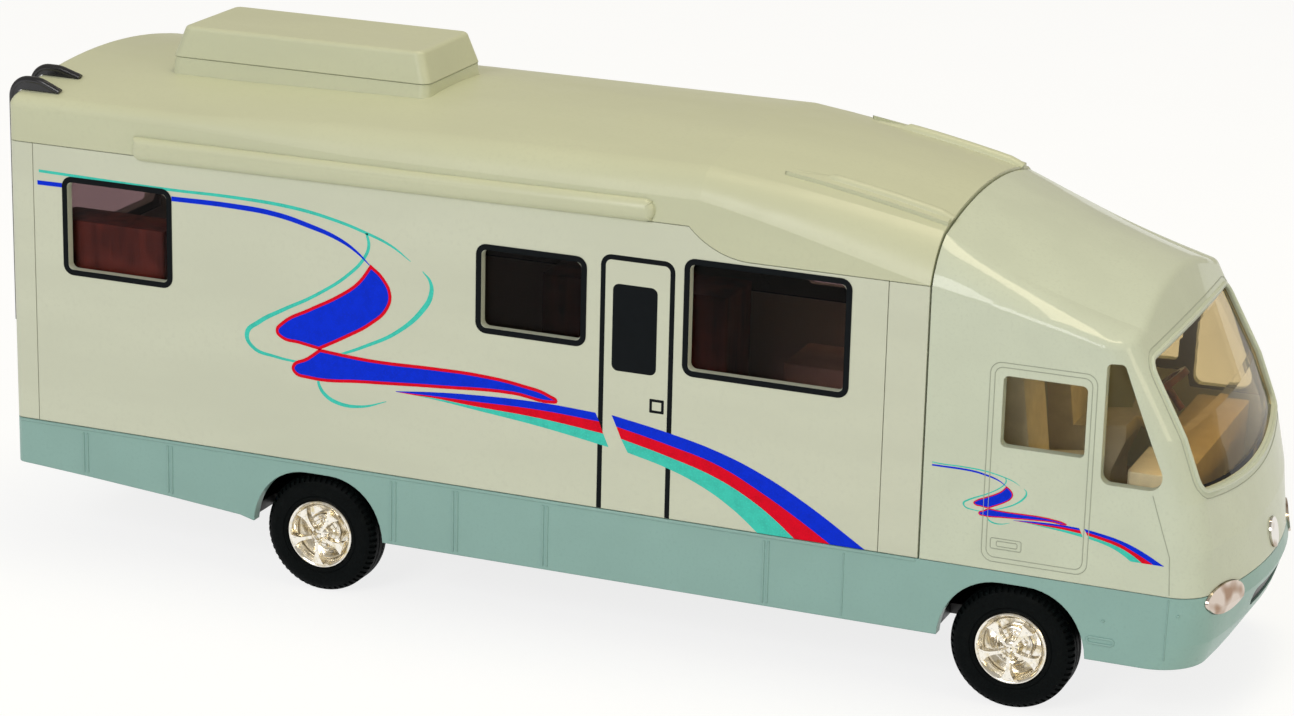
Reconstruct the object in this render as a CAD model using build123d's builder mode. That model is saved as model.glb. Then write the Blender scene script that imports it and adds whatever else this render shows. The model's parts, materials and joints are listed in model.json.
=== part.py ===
from build123d import *
import math
import os

os.makedirs("parts", exist_ok=True)

# A toy motorhome about 200 mm long: a painted cab and skirts, a plastic coach body
# with fitted side panels, and two axles whose wheels roll. Millimetres, +X is the
# front, +Y the driver's left, +Z up. The origin is under the middle of the toy.

# ---------------------------------------------------------------- driving sizes
LENGTH = 200.0            # ladder's back to the bumper's front
WIDTH = 54.0              # over the flat side walls
WHEELBASE = 112.0
FRONT_OVERHANG = 32.5     # bumper's front to the front axle
LADDER_DEPTH = 1.5        # ladder's back to the rear wall

SKIRT_BOTTOM_Z = 10.0
SKIRT_TOP_Z = 21.2        # where the skirts' colour meets the body
SEAM_LOW_Z = 62.4         # roof seam over the front of the coach
SEAM_HIGH_Z = 66.7        # roof seam over the rest of the coach
ROOF_TOP_Z = 77.1         # crown of the roof

SKIRT_WALL = 1.8
CAB_WALL = 1.6
ROOF_WALL = 1.8
PANEL_THICKNESS = 1.4     # side panel with the windows
LIP_THICKNESS = 0.8       # ledge of the frame that the panel seats on
LIP_WIDTH = 0.9
REAR_WALL = 2.0
GLASS_THICKNESS = 0.8
SEAM_GAP = 0.1            # between fixed pieces that meet
GROOVE = 0.3              # the wider groove between cab and coach
REAR_CORNER = 1.5         # rounding of the upright rear corners
OVER = 1.0                # a cut runs this far past the surface it opens
REACH = 2 * LENGTH        # long enough to cut right through the toy

HALF_WIDTH = WIDTH / 2
NOSE_X = LENGTH / 2
LADDER_BACK_X = -LENGTH / 2
REAR_X = LADDER_BACK_X + LADDER_DEPTH
FRONT_AXLE_X = NOSE_X - FRONT_OVERHANG
REAR_AXLE_X = FRONT_AXLE_X - WHEELBASE
CAB_REAR_X = FRONT_AXLE_X - 14.4 + GROOVE / 2
COACH_FRONT_X = CAB_REAR_X - GROOVE
FRAME_WALL = PANEL_THICKNESS + LIP_THICKNESS
COACH_INNER_Y = HALF_WIDTH - FRAME_WALL
CAB_INNER_Y = HALF_WIDTH - CAB_WALL
BODY_BOTTOM_Z = SKIRT_TOP_Z + SEAM_GAP

# ---------------------------------------------------------------- wheels, axles
TYRE_RADIUS = 9.4
TYRE_WIDTH = 6.0
RIM_RADIUS = 5.5
AXLE_RADIUS = 1.0
FIT_GAP = 0.02            # tyre on rim and rim on axle
BEARING_GAP = 0.05
END_PLAY = 0.3            # wheel hub to bearing
WHEEL_INSET = 0.4         # tyre's outer face inside the side wall
WHEEL_FACE_Y = HALF_WIDTH - WHEEL_INSET
HUB_Z = TYRE_RADIUS
RIM_DEPTH = TYRE_WIDTH - END_PLAY
AXLE_END_DEPTH = 1.85     # axle's end behind the wheel's outer face
BEARING_OUTER_Y = WHEEL_FACE_Y - RIM_DEPTH - END_PLAY
BEARING_LENGTH = 3.2
ARCH_RADIUS = TYRE_RADIUS + 1.8
ARCH_TOP_Z = 2 * TYRE_RADIUS + 0.7      # the arches are flattened over the tyres
ARCH_ROUND = 9.0          # where an arch meets its flat top

AXLES = {"front": FRONT_AXLE_X, "rear": REAR_AXLE_X}
SIDES = {"right": -1, "left": 1}


def outward(x, side, y, z):
    """Plane on one side of the toy: local X is forward, local Z points outwards."""
    return Plane(origin=(x, side * y, z), x_dir=(1, 0, 0), z_dir=(0, side, 0))


# ---------------------------------------------------------------- outer forms
# The nose as level outlines: flat sides, a bowed front and round corners between.
# Columns: height, then behind the bumper's front the sharp corner and the middle of
# the bow, and the corner's radius.
NOSE_LEVELS = [
    # z, corner, middle, radius
    (SKIRT_BOTTOM_Z, 6.1, 4.3, 7.6),
    (14.0, 5.3, 1.7, 6.8),
    (19.0, 5.4, 0.0, 5.9),
    (21.6, 6.0, 0.5, 5.7),
    (28.0, 5.9, 1.8, 5.7),
    (35.0, 7.0, 4.2, 5.5),
    (44.0, 10.4, 8.3, 4.9),
    (54.0, 15.9, 14.0, 4.9),
    (65.0, 21.7, 19.7, 4.9),
    (76.0, 27.4, 25.2, 4.9),
]
SKIRT_LEVELS = NOSE_LEVELS[:4]

# The roof as cross-sections. Columns: place behind the front axle, height where the
# side leans in, half width and height of the shoulder, height of the crown.
CAB_ROOF_STATIONS = [
    # x, side z, shoulder y, shoulder z, crown z
    (-15.0, 62.3, 21.2, 69.0, 71.6),
    (-4.0, 60.2, 21.5, 64.4, 67.6),
    (6.0, 58.4, 21.0, 60.8, 64.3),
    (16.0, 55.8, 20.4, 58.0, 61.4),
    (25.0, 52.2, 19.5, 56.2, 59.1),
    (36.0, 49.8, 18.6, 54.6, 56.8),
]
COACH_ROOF_STATIONS = [
    (-50.0, 70.7, 22.6, 75.0, ROOF_TOP_Z),
    (-38.0, 68.2, 22.4, 73.4, 76.0),
    (-26.0, 65.2, 22.0, 71.4, 74.2),
    (-14.0, 62.3, 21.2, 69.0, 71.6),
]
# Towards the rear the roof gets lower and squarer, with upright sides.
REAR_ROOF_STATIONS = [
    (-134.0, 71.9, 25.2, 73.9, 76.6),
    (-106.0, 70.8, 22.7, 74.9, ROOF_TOP_Z),
]
# The rear end rounds over. Columns: ahead of the rear wall, drop of the section.
ROOF_REAR_ROUNDING = [
    # ahead, drop
    (0.0, 1.1),
    (0.3, 0.5),
    (0.8, 0.1),
    (1.4, 0.0),
]
ROUNDING_LEAN = 0.4       # how much of the drop the shoulder also moves inwards


def nose_outline(corner, middle, radius, inset):
    """Where the flat side ends, the corner's middle, its end, and the bow's middle."""
    bow = corner - middle
    bow_radius = (HALF_WIDTH ** 2 + bow ** 2) / (2 * bow)
    centre_x = NOSE_X - middle - bow_radius
    round_y = HALF_WIDTH - radius
    round_x = centre_x + math.sqrt((bow_radius - radius) ** 2 - round_y ** 2)
    end_angle = math.atan2(round_y, round_x - centre_x)
    middle_angle = (math.pi / 2 + end_angle) / 2
    outer = bow_radius - inset
    turn = radius - inset
    return (
        (round_x, HALF_WIDTH - inset),
        (round_x + turn * math.cos(middle_angle), round_y + turn * math.sin(middle_angle)),
        (centre_x + outer * math.cos(end_angle), outer * math.sin(end_angle)),
        (centre_x + outer, 0),
    )


def mirrored(point):
    """The same point on the other side of the toy."""
    return (point[0], -point[1])


def nose_form(inset, rear_x, levels):
    """Solid from rear_x to the nose, its surface moved inwards by the inset."""
    half = HALF_WIDTH - inset
    with BuildPart() as form:
        for z, corner, middle, radius in levels:
            side, turn, end, front = nose_outline(corner, middle, radius, inset)
            with BuildSketch(Plane.XY.offset(z)):
                with BuildLine():
                    Line((rear_x, -half), (rear_x, half))
                    Line((rear_x, half), side)
                    ThreePointArc(side, turn, end)
                    ThreePointArc(end, front, mirrored(end))
                    ThreePointArc(mirrored(end), mirrored(turn), mirrored(side))
                    Line(mirrored(side), (rear_x, -half))
                make_face()
        loft(ruled=True)
    return form.part


SHOULDER_SHARE = 0.6      # of an inset, that the shoulder moves inwards
SHOULDER_BULGE = 0.6      # most that the side bulges where it leans in to the shoulder
BULGE_SHARE = 0.15        # of the height between the side and the shoulder


def roof_section(x, side_z, shoulder_y, shoulder_z, crown_z, inset, bottom_z):
    """Cross-section of the roof at x, its surface moved inwards by the inset."""
    half = HALF_WIDTH - inset
    shoulder = (shoulder_y - inset * SHOULDER_SHARE, shoulder_z - inset)
    bulge = min(SHOULDER_BULGE, (shoulder_z - side_z) * BULGE_SHARE)
    lean = (
        (half + shoulder[0]) / 2 + bulge,
        (side_z - inset + shoulder[1]) / 2 + bulge,
    )
    with BuildSketch(Plane.YZ.offset(x)) as section:
        with BuildLine():
            Line((half, bottom_z), (half, side_z - inset))
            ThreePointArc((half, side_z - inset), lean, shoulder)
            ThreePointArc(shoulder, (0, crown_z - inset), (-shoulder[0], shoulder[1]))
            ThreePointArc(
                (-shoulder[0], shoulder[1]), (-lean[0], lean[1]), (-half, side_z - inset)
            )
            Line((-half, side_z - inset), (-half, bottom_z))
            Line((-half, bottom_z), (half, bottom_z))
        make_face()
    return section.sketch


def roof_form(stations, inset, bottom_z):
    """Solid under the roof through the stations."""
    sections = []
    for x, side_z, shoulder_y, shoulder_z, crown_z in stations:
        place = FRONT_AXLE_X + x
        sections.append(
            roof_section(place, side_z, shoulder_y, shoulder_z, crown_z, inset, bottom_z)
        )
    with BuildPart() as form:
        loft(sections)
    return form.part


# Seam between the roof and the walls, seen from the side.
HEADROOM = 20.0           # cutters reach this far above the roof
ABOVE_ROOF_Z = ROOF_TOP_Z + HEADROOM
SEAM_STEP_X = FRONT_AXLE_X - 51.5
SEAM_STEP_LENGTH = 10.5
SEAM_LAND_X = SEAM_STEP_X + SEAM_STEP_LENGTH
SEAM_MIDDLE = (SEAM_STEP_X + 3.3, SEAM_LOW_Z + 1.7)


def above_seam(gap):
    """Solid that fills everything above the roof seam, raised by the gap."""
    high = SEAM_HIGH_Z + gap
    low = SEAM_LOW_Z + gap
    with BuildPart() as form:
        with BuildSketch(Plane.XZ):
            with BuildLine():
                Polyline(
                    (SEAM_STEP_X, high),
                    (LADDER_BACK_X, high),
                    (LADDER_BACK_X, ABOVE_ROOF_Z),
                    (NOSE_X, ABOVE_ROOF_Z),
                    (NOSE_X, low),
                    (SEAM_LAND_X, low),
                )
                ThreePointArc(
                    (SEAM_LAND_X, low), (SEAM_MIDDLE[0], SEAM_MIDDLE[1] + gap), (SEAM_STEP_X, high)
                )
            make_face()
        extrude(amount=WIDTH, both=True)
    return form.part


def upright(inset):
    """Tall solid with the toy's plan: round rear corners, open towards the front."""
    rear_x = REAR_X + inset
    with BuildPart() as form:
        with BuildSketch():
            with Locations(((rear_x + REACH) / 2, 0)):
                Rectangle(REACH - rear_x, WIDTH - 2 * inset)
            fillet(vertices().group_by(Axis.X)[0], REAR_CORNER)
        extrude(amount=REACH)
    return form.part


def keep(part, name):
    """Label a finished piece and write it."""
    part.label = name
    export_step(part, f"parts/{name}.step")


# ---------------------------------------------------------------- wheels
TYRE_PROFILE = [
    # radius, depth behind the outer face
    (RIM_RADIUS + FIT_GAP, 5.6),
    (RIM_RADIUS + FIT_GAP, 0.4),
    (6.2, 0.1),
    (7.6, 0.0),
    (8.8, 0.5),
    (TYRE_RADIUS, 1.3),
    (TYRE_RADIUS, 4.7),
    (8.8, 5.5),
    (7.6, TYRE_WIDTH),
    (6.2, 5.9),
]
HUB_RADIUS = 2.2
RIM_PROFILE = [
    # radius, depth behind the outer face
    (0.0, AXLE_END_DEPTH - FIT_GAP),
    (AXLE_RADIUS + FIT_GAP, AXLE_END_DEPTH - FIT_GAP),
    (AXLE_RADIUS + FIT_GAP, RIM_DEPTH),
    (HUB_RADIUS, RIM_DEPTH),
    (HUB_RADIUS, 2.8),
    (4.9, 2.8),
    (4.9, 5.5),
    (RIM_RADIUS, 5.5),
    (RIM_RADIUS, 0.35),
    (5.2, 0.15),
    (4.8, 0.6),
    (4.5, 2.0),
    (2.0, 2.1),
    (1.4, 1.5),
    (1.3, 0.8),
    (0.7, 0.5),
    (0.0, 0.45),
]
SPOKES = 5
SPOKE_WIDTH = 0.75
SPOKE_TOP = 0.85          # depth of the spokes' outer face
LUG_CIRCLE = 2.6
LUG_RADIUS = 0.38
LUG_TOP = 1.7             # depth of the lugs' outer face
LUG_HEIGHT = 0.7
SPOKE_MIDDLE = 3.2        # from the hub's middle
SPOKE_LENGTH = 4.4
SPOKE_HEIGHT = 1.55

for axle_name, axle_x in AXLES.items():
    for side_name, side in SIDES.items():
        hub = (axle_x, side * WHEEL_FACE_Y, HUB_Z)
        half_section = Plane(origin=hub, x_dir=(0, 0, 1), z_dir=(-side, 0, 0))
        spin_axis = Axis(hub, (0, 1, 0))
        face = outward(axle_x, side, WHEEL_FACE_Y, HUB_Z)

        with BuildPart() as tyre:
            with BuildSketch(half_section):
                with BuildLine():
                    Polyline(*[(r, -depth) for r, depth in TYRE_PROFILE], close=True)
                make_face()
            revolve(axis=spin_axis)
        keep(tyre.part, f"{axle_name}_tyre_{side_name}")

        with BuildPart() as rim:
            with BuildSketch(half_section):
                with BuildLine():
                    Polyline(*[(r, -depth) for r, depth in RIM_PROFILE], close=True)
                make_face()
            revolve(axis=spin_axis)
            with BuildSketch(face.offset(-SPOKE_TOP)):
                with PolarLocations(SPOKE_MIDDLE, SPOKES, start_angle=-90):
                    Rectangle(SPOKE_LENGTH, SPOKE_WIDTH)
            extrude(amount=-SPOKE_HEIGHT)
            with BuildSketch(face.offset(-LUG_TOP)):
                with PolarLocations(LUG_CIRCLE, SPOKES, start_angle=180 / SPOKES - 90):
                    Circle(LUG_RADIUS)
            extrude(amount=-LUG_HEIGHT)
        keep(rim.part, f"{axle_name}_rim_{side_name}")

    with BuildPart() as axle:
        with BuildSketch(Plane(origin=(axle_x, 0, HUB_Z), x_dir=(1, 0, 0), z_dir=(0, -1, 0))):
            Circle(AXLE_RADIUS)
        extrude(amount=WHEEL_FACE_Y - AXLE_END_DEPTH, both=True)
    keep(axle.part, f"{axle_name}_axle")

# ---------------------------------------------------------------- shared forms
FORM_BOTTOM_Z = BODY_BOTTOM_Z - OVER

nose_outer = nose_form(0, CAB_REAR_X, NOSE_LEVELS)
nose_inner = nose_form(CAB_WALL, CAB_REAR_X - OVER, NOSE_LEVELS)
cab_roof_outer = roof_form(CAB_ROOF_STATIONS, 0, FORM_BOTTOM_Z)
cab_roof_inner = roof_form(CAB_ROOF_STATIONS, CAB_WALL, FORM_BOTTOM_Z - OVER)

# ---------------------------------------------------------------- lamps, badge
LAMP_Y = 19.7
LAMP_Z = 20.0
LAMP_HALF_WIDTH = 4.8
LAMP_HALF_HEIGHT = 2.15
LAMP_DEPTH = 1.0
LAMP_PROUD = 0.35
BADGE_Z = 23.9
BADGE_RADIUS = 2.2
BADGE_PROUD = 0.35
BADGE_DEPTH = 0.6
SEAT_GAP = SEAM_GAP / 2   # round a piece set into a pocket
NOSE_SIGHT_X = NOSE_X - 22.0  # the front's openings are cut from here forwards
NOSE_SIGHT = 24.0


def nose_plug(prism, front_inset, back_inset, levels=NOSE_LEVELS):
    """The stretch of a forward prism between two surfaces inside the nose."""
    with BuildPart() as plug:
        add(prism)
        add(nose_form(front_inset, REAR_X, levels), mode=Mode.INTERSECT)
        add(nose_form(back_inset, REAR_X, levels), mode=Mode.SUBTRACT)
    return plug.part


def forward_ellipse(y, z, half_width, half_height):
    """Prism of elliptic outline that runs forwards through the nose."""
    with BuildPart() as prism:
        with BuildSketch(Plane.YZ.offset(NOSE_SIGHT_X)):
            with Locations((y, z)):
                Ellipse(half_width, half_height)
        extrude(amount=NOSE_SIGHT)
    return prism.part


lamp_pockets = []
for side_name, side in SIDES.items():
    lens = forward_ellipse(side * LAMP_Y, LAMP_Z, LAMP_HALF_WIDTH, LAMP_HALF_HEIGHT)
    keep(nose_plug(lens, -LAMP_PROUD, LAMP_DEPTH), f"headlamp_{side_name}")
    lamp_hole = forward_ellipse(
        side * LAMP_Y, LAMP_Z, LAMP_HALF_WIDTH + SEAT_GAP, LAMP_HALF_HEIGHT + SEAT_GAP
    )
    lamp_pockets.append(nose_plug(lamp_hole, -LAMP_PROUD, LAMP_DEPTH + SEAT_GAP))

badge = forward_ellipse(0, BADGE_Z, BADGE_RADIUS, BADGE_RADIUS)
keep(nose_plug(badge, -BADGE_PROUD, BADGE_DEPTH), "front_badge")
badge_hole = forward_ellipse(0, BADGE_Z, BADGE_RADIUS + SEAT_GAP, BADGE_RADIUS + SEAT_GAP)
badge_pocket = nose_plug(badge_hole, -BADGE_PROUD, BADGE_DEPTH + SEAT_GAP)

# ---------------------------------------------------------------- cab windows
SCREEN_TOP = (22.4, 54.1)     # half width and height of the windscreen's corners
SCREEN_BOTTOM = (22.6, 36.5)
SCREEN_TOP_RISE = 0.7
SCREEN_BOTTOM_SAG = 1.5
SCREEN_CORNER = 1.6
SCREEN_FLANGE = 1.0
SCREEN_RECESS = 0.5

DOOR_WINDOW = (-3.0, 40.1, 9.35, 50.7)  # x from the front axle and z, twice
DOOR_WINDOW_CORNER = 0.8
QUARTER_WINDOW = [
    # x from the front axle, z, rounding of the corner
    (11.9, 54.5, 0.8),
    (14.3, 54.5, 0.9),
    (21.8, 36.7, 2.0),
    (11.9, 36.7, 1.4),
]


def screen_prism(grow):
    """Prism through the windscreen's opening, grown on every side."""
    top = (SCREEN_TOP[0] + grow, SCREEN_TOP[1] + grow)
    bottom = (SCREEN_BOTTOM[0] + grow, SCREEN_BOTTOM[1] - grow)
    with BuildPart() as prism:
        with BuildSketch(Plane.YZ.offset(NOSE_SIGHT_X)):
            with BuildLine():
                ThreePointArc((-top[0], top[1]), (0, top[1] + SCREEN_TOP_RISE), top)
                Line(top, bottom)
                ThreePointArc(
                    bottom, (0, bottom[1] - SCREEN_BOTTOM_SAG), (-bottom[0], bottom[1])
                )
                Line((-bottom[0], bottom[1]), (-top[0], top[1]))
            make_face()
            fillet(vertices(), SCREEN_CORNER + grow)
        extrude(amount=NOSE_SIGHT)
    return prism.part


with BuildPart() as cab_windows:
    with BuildSketch(Plane.XZ):
        x0, z0, x1, z1 = DOOR_WINDOW
        with Locations((FRONT_AXLE_X + (x0 + x1) / 2, (z0 + z1) / 2)):
            RectangleRounded(x1 - x0, z1 - z0, DOOR_WINDOW_CORNER)
    extrude(amount=WIDTH, both=True)
    with BuildSketch(Plane.XZ):
        with BuildLine():
            Polyline(*[(FRONT_AXLE_X + x, z) for x, z, _ in QUARTER_WINDOW], close=True)
        make_face()
        for x, z, corner in QUARTER_WINDOW:
            fillet(vertices().sort_by_distance((FRONT_AXLE_X + x, z))[0], corner)
    extrude(amount=WIDTH, both=True)

# ---------------------------------------------------------------- cab
BROW_ROUND = 2.0          # where the roof turns down over the windscreen
BROW_X = FRONT_AXLE_X + 9.0
BROW_Z = SCREEN_TOP[1] + 0.5

with BuildPart() as cab_hollow:
    add(nose_inner)
    add(cab_roof_inner, mode=Mode.INTERSECT)

with BuildPart() as cab_shell:
    add(nose_outer)
    add(cab_roof_outer, mode=Mode.INTERSECT)
    ahead = cab_shell.edges().filter_by(lambda edge: edge.center().X > BROW_X)
    fillet(ahead.filter_by(lambda edge: edge.center().Z > BROW_Z), BROW_ROUND)
    add(cab_hollow.part, mode=Mode.SUBTRACT)
    with Locations((0, 0, BODY_BOTTOM_Z)):
        Box(REACH, REACH, REACH, align=(Align.CENTER, Align.CENTER, Align.MAX), mode=Mode.SUBTRACT)
    add(cab_windows.part, mode=Mode.SUBTRACT)
    add(screen_prism(0), mode=Mode.SUBTRACT)
    for pocket in lamp_pockets:
        add(pocket, mode=Mode.SUBTRACT)
    add(badge_pocket, mode=Mode.SUBTRACT)
keep(cab_shell.part, "cab_shell")

screen_back = CAB_WALL + GLASS_THICKNESS
with BuildPart() as windshield_glass:
    add(nose_plug(screen_prism(-SEAT_GAP), SCREEN_RECESS, screen_back))
    add(nose_plug(screen_prism(SCREEN_FLANGE), CAB_WALL, screen_back))
keep(windshield_glass.part, "windshield_glass")

SIDE_GLASS_OUTLINE = [
    # x from the front axle, z
    (-4.2, 38.8),
    (11.0, 38.8),
    (11.6, 36.4),
    (22.6, 36.4),
    (14.6, 55.3),
    (11.2, 55.3),
    (-4.2, 51.8),
]
glass_room = nose_form(CAB_WALL, CAB_REAR_X, NOSE_LEVELS)
glass_ceiling = roof_form(CAB_ROOF_STATIONS, CAB_WALL, FORM_BOTTOM_Z)
for side_name, side in SIDES.items():
    inner_y = side * (CAB_INNER_Y - GLASS_THICKNESS)
    with BuildPart() as cab_side_glass:
        with BuildSketch(Plane(origin=(0, inner_y, 0), x_dir=(1, 0, 0), z_dir=(0, -1, 0))):
            with BuildLine():
                Polyline(*[(FRONT_AXLE_X + x, z) for x, z in SIDE_GLASS_OUTLINE], close=True)
            make_face()
        extrude(amount=-side * GLASS_THICKNESS)
        add(glass_room, mode=Mode.INTERSECT)
        add(glass_ceiling, mode=Mode.INTERSECT)
    keep(cab_side_glass.part, f"cab_side_glass_{side_name}")

# ---------------------------------------------------------------- skirts
REAR_RISE = [
    # x from the front axle, height of the skirt's lower edge
    (-122.5, SKIRT_BOTTOM_Z),
    (-125.6, 10.8),
    (-138.0, 11.9),
    (-152.7, 13.0),
    (-162.0, 13.6),
    (-180.0, 14.6),
]
GRILLE_HALF_WIDTH = 9.5
GRILLE_Z = 16.6
GRILLE_HEIGHT = 2.8
GRILLE_CORNER = 1.2
GRILLE_DEPTH = 0.7
GRILLE_RECESS = 0.35
TAIL_LAMP = (22.0, 28.5, 4.2, 8.0)   # y, z, width, height
TAIL_LAMP_CORNER = 0.8
TAIL_LAMP_PROUD = 0.3
TAIL_LAMP_DEPTH = 0.9


def forward_slot(grow):
    """Prism of the grille's rounded slot that runs forwards through the nose."""
    with BuildPart() as prism:
        with BuildSketch(Plane.YZ.offset(NOSE_SIGHT_X)):
            with Locations((0, GRILLE_Z)):
                RectangleRounded(
                    2 * (GRILLE_HALF_WIDTH + grow), GRILLE_HEIGHT + 2 * grow, GRILLE_CORNER
                )
        extrude(amount=NOSE_SIGHT)
    return prism.part


keep(nose_plug(forward_slot(-SEAT_GAP), GRILLE_RECESS, GRILLE_DEPTH, SKIRT_LEVELS), "grille")
grille_pocket = nose_plug(forward_slot(0), -OVER, GRILLE_DEPTH + SEAT_GAP, SKIRT_LEVELS)

with BuildPart() as lower_skirt:
    add(nose_form(0, REAR_X, SKIRT_LEVELS))
    add(upright(0), mode=Mode.INTERSECT)
    add(nose_form(SKIRT_WALL, REAR_X + SKIRT_WALL, SKIRT_LEVELS), mode=Mode.SUBTRACT)
    with Locations((0, 0, SKIRT_TOP_Z)):
        Box(REACH, REACH, REACH, align=(Align.CENTER, Align.CENTER, Align.MIN), mode=Mode.SUBTRACT)
    with BuildSketch(Plane.XZ):
        with Locations((FRONT_AXLE_X, HUB_Z), (REAR_AXLE_X, HUB_Z)):
            Circle(ARCH_RADIUS)
        with Locations((0, ARCH_TOP_Z)):
            Rectangle(REACH, REACH, align=(Align.CENTER, Align.MIN), mode=Mode.SUBTRACT)
        fillet(vertices().sort_by(Axis.Y)[-4:], ARCH_ROUND)
        with BuildLine():
            rise = [(FRONT_AXLE_X + x, z) for x, z in REAR_RISE]
            Polyline(
                *rise, (rise[-1][0], 0), (REAR_AXLE_X, 0), (REAR_AXLE_X, SKIRT_BOTTOM_Z), close=True
            )
        make_face()
    extrude(amount=WIDTH, both=True, mode=Mode.SUBTRACT)
    for pocket in lamp_pockets:
        add(pocket, mode=Mode.SUBTRACT)
    add(grille_pocket, mode=Mode.SUBTRACT)
    add(badge_pocket, mode=Mode.SUBTRACT)
keep(lower_skirt.part, "lower_skirt")

# ---------------------------------------------------------------- base
BASE_BOTTOM_Z = 10.9
BASE_THICKNESS = 1.6
BASE_TOP_Z = BASE_BOTTOM_Z + BASE_THICKNESS
BASE_REAR_BOTTOM_Z = 14.2
BASE_INSET = SKIRT_WALL + SEAM_GAP
BASE_REAR_X = REAR_X + BASE_INSET
BASE_STEP_X = REAR_AXLE_X - 15.0      # behind here the base steps up with the skirt
BASE_WIDTH = WIDTH - 2 * BASE_INSET
WELL_GAP = 0.6                        # between the tyre and the base
WELL_INNER_Y = WHEEL_FACE_Y - TYRE_WIDTH - WELL_GAP
BEARING_HALF_LENGTH = 2.6
BEARING_BOTTOM_Z = HUB_Z - 2.3
BEARING_MIDDLE_Y = BEARING_OUTER_Y - BEARING_LENGTH / 2
SCREWS = [
    # x, height of the base's underside there
    (FRONT_AXLE_X + 19.0, BASE_BOTTOM_Z),
    (REAR_AXLE_X - 22.0, BASE_REAR_BOTTOM_Z),
]
SCREW_HEAD_RADIUS = 2.2
SCREW_HEAD_HEIGHT = 1.2
SCREW_RADIUS = 1.2
SCREW_LENGTH = 7.0
SCREW_SLOT = (2.4, 0.6, 0.6)          # length, width, depth of the crossed slots
BOSS_RADIUS = 3.2
BOSS_HEIGHT = 6.0
DISPLAY_HOLES = [(FRONT_AXLE_X - 36.0, 0), (REAR_AXLE_X + 22.0, 0)]
DISPLAY_HOLE_RADIUS = 1.5
DISPLAY_HOLE_DEPTH = 6.0
DISPLAY_BOSS_RADIUS = 3.0
DISPLAY_BOSS_HEIGHT = 7.0

with BuildPart() as base_plate:
    add(nose_form(BASE_INSET, BASE_STEP_X, SKIRT_LEVELS))
    with Locations((0, 0, BASE_TOP_Z)):
        Box(REACH, REACH, REACH, align=(Align.CENTER, Align.CENTER, Align.MIN), mode=Mode.SUBTRACT)
    with Locations((0, 0, BASE_BOTTOM_Z)):
        Box(REACH, REACH, REACH, align=(Align.CENTER, Align.CENTER, Align.MAX), mode=Mode.SUBTRACT)

with BuildPart() as chassis_base:
    add(base_plate.part)
    with BuildSketch(Plane.XY.offset(BASE_REAR_BOTTOM_Z)):
        with Locations(((BASE_REAR_X + BASE_STEP_X) / 2, 0)):
            Rectangle(BASE_STEP_X - BASE_REAR_X, BASE_WIDTH)
    extrude(amount=BASE_THICKNESS)
    with BuildSketch(Plane.XY.offset(BASE_BOTTOM_Z)):
        with Locations((BASE_STEP_X, 0)):
            Rectangle(BASE_THICKNESS, BASE_WIDTH)
    extrude(amount=BASE_REAR_BOTTOM_Z + BASE_THICKNESS - BASE_BOTTOM_Z)
    with BuildSketch(Plane.XY.offset(BASE_BOTTOM_Z - OVER)):
        for axle_x in AXLES.values():
            with Locations((axle_x, HALF_WIDTH), (axle_x, -HALF_WIDTH)):
                Rectangle(2 * ARCH_RADIUS, 2 * (HALF_WIDTH - WELL_INNER_Y))
    extrude(amount=BASE_THICKNESS + 2 * OVER, mode=Mode.SUBTRACT)
    with BuildSketch(Plane.XY.offset(BEARING_BOTTOM_Z)):
        for axle_x in AXLES.values():
            with Locations((axle_x, BEARING_MIDDLE_Y), (axle_x, -BEARING_MIDDLE_Y)):
                Rectangle(2 * BEARING_HALF_LENGTH, BEARING_LENGTH)
    extrude(amount=BASE_TOP_Z - BEARING_BOTTOM_Z)
    with BuildSketch(Plane.XZ):
        with Locations(*[(axle_x, HUB_Z) for axle_x in AXLES.values()]):
            Circle(AXLE_RADIUS + BEARING_GAP)
    extrude(amount=HALF_WIDTH, both=True, mode=Mode.SUBTRACT)
    for screw_x, under_z in SCREWS:
        with BuildSketch(Plane.XY.offset(under_z + SEAM_GAP)):
            with Locations((screw_x, 0)):
                Circle(BOSS_RADIUS)
        extrude(amount=BOSS_HEIGHT)
        with BuildSketch(Plane.XY.offset(under_z)):
            with Locations((screw_x, 0)):
                Circle(SCREW_HEAD_RADIUS + SEAM_GAP)
        extrude(amount=SCREW_HEAD_HEIGHT, mode=Mode.SUBTRACT)
        with BuildSketch(Plane.XY.offset(under_z)):
            with Locations((screw_x, 0)):
                Circle(SCREW_RADIUS + SEAM_GAP)
        extrude(amount=BOSS_HEIGHT + OVER, mode=Mode.SUBTRACT)
    with BuildSketch(Plane.XY.offset(BASE_BOTTOM_Z + SEAM_GAP)):
        with Locations(*DISPLAY_HOLES):
            Circle(DISPLAY_BOSS_RADIUS)
    extrude(amount=DISPLAY_BOSS_HEIGHT)
    with BuildSketch(Plane.XY.offset(BASE_BOTTOM_Z)):
        with Locations(*DISPLAY_HOLES):
            Circle(DISPLAY_HOLE_RADIUS)
    extrude(amount=DISPLAY_HOLE_DEPTH, mode=Mode.SUBTRACT)
keep(chassis_base.part, "chassis_base")

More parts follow.
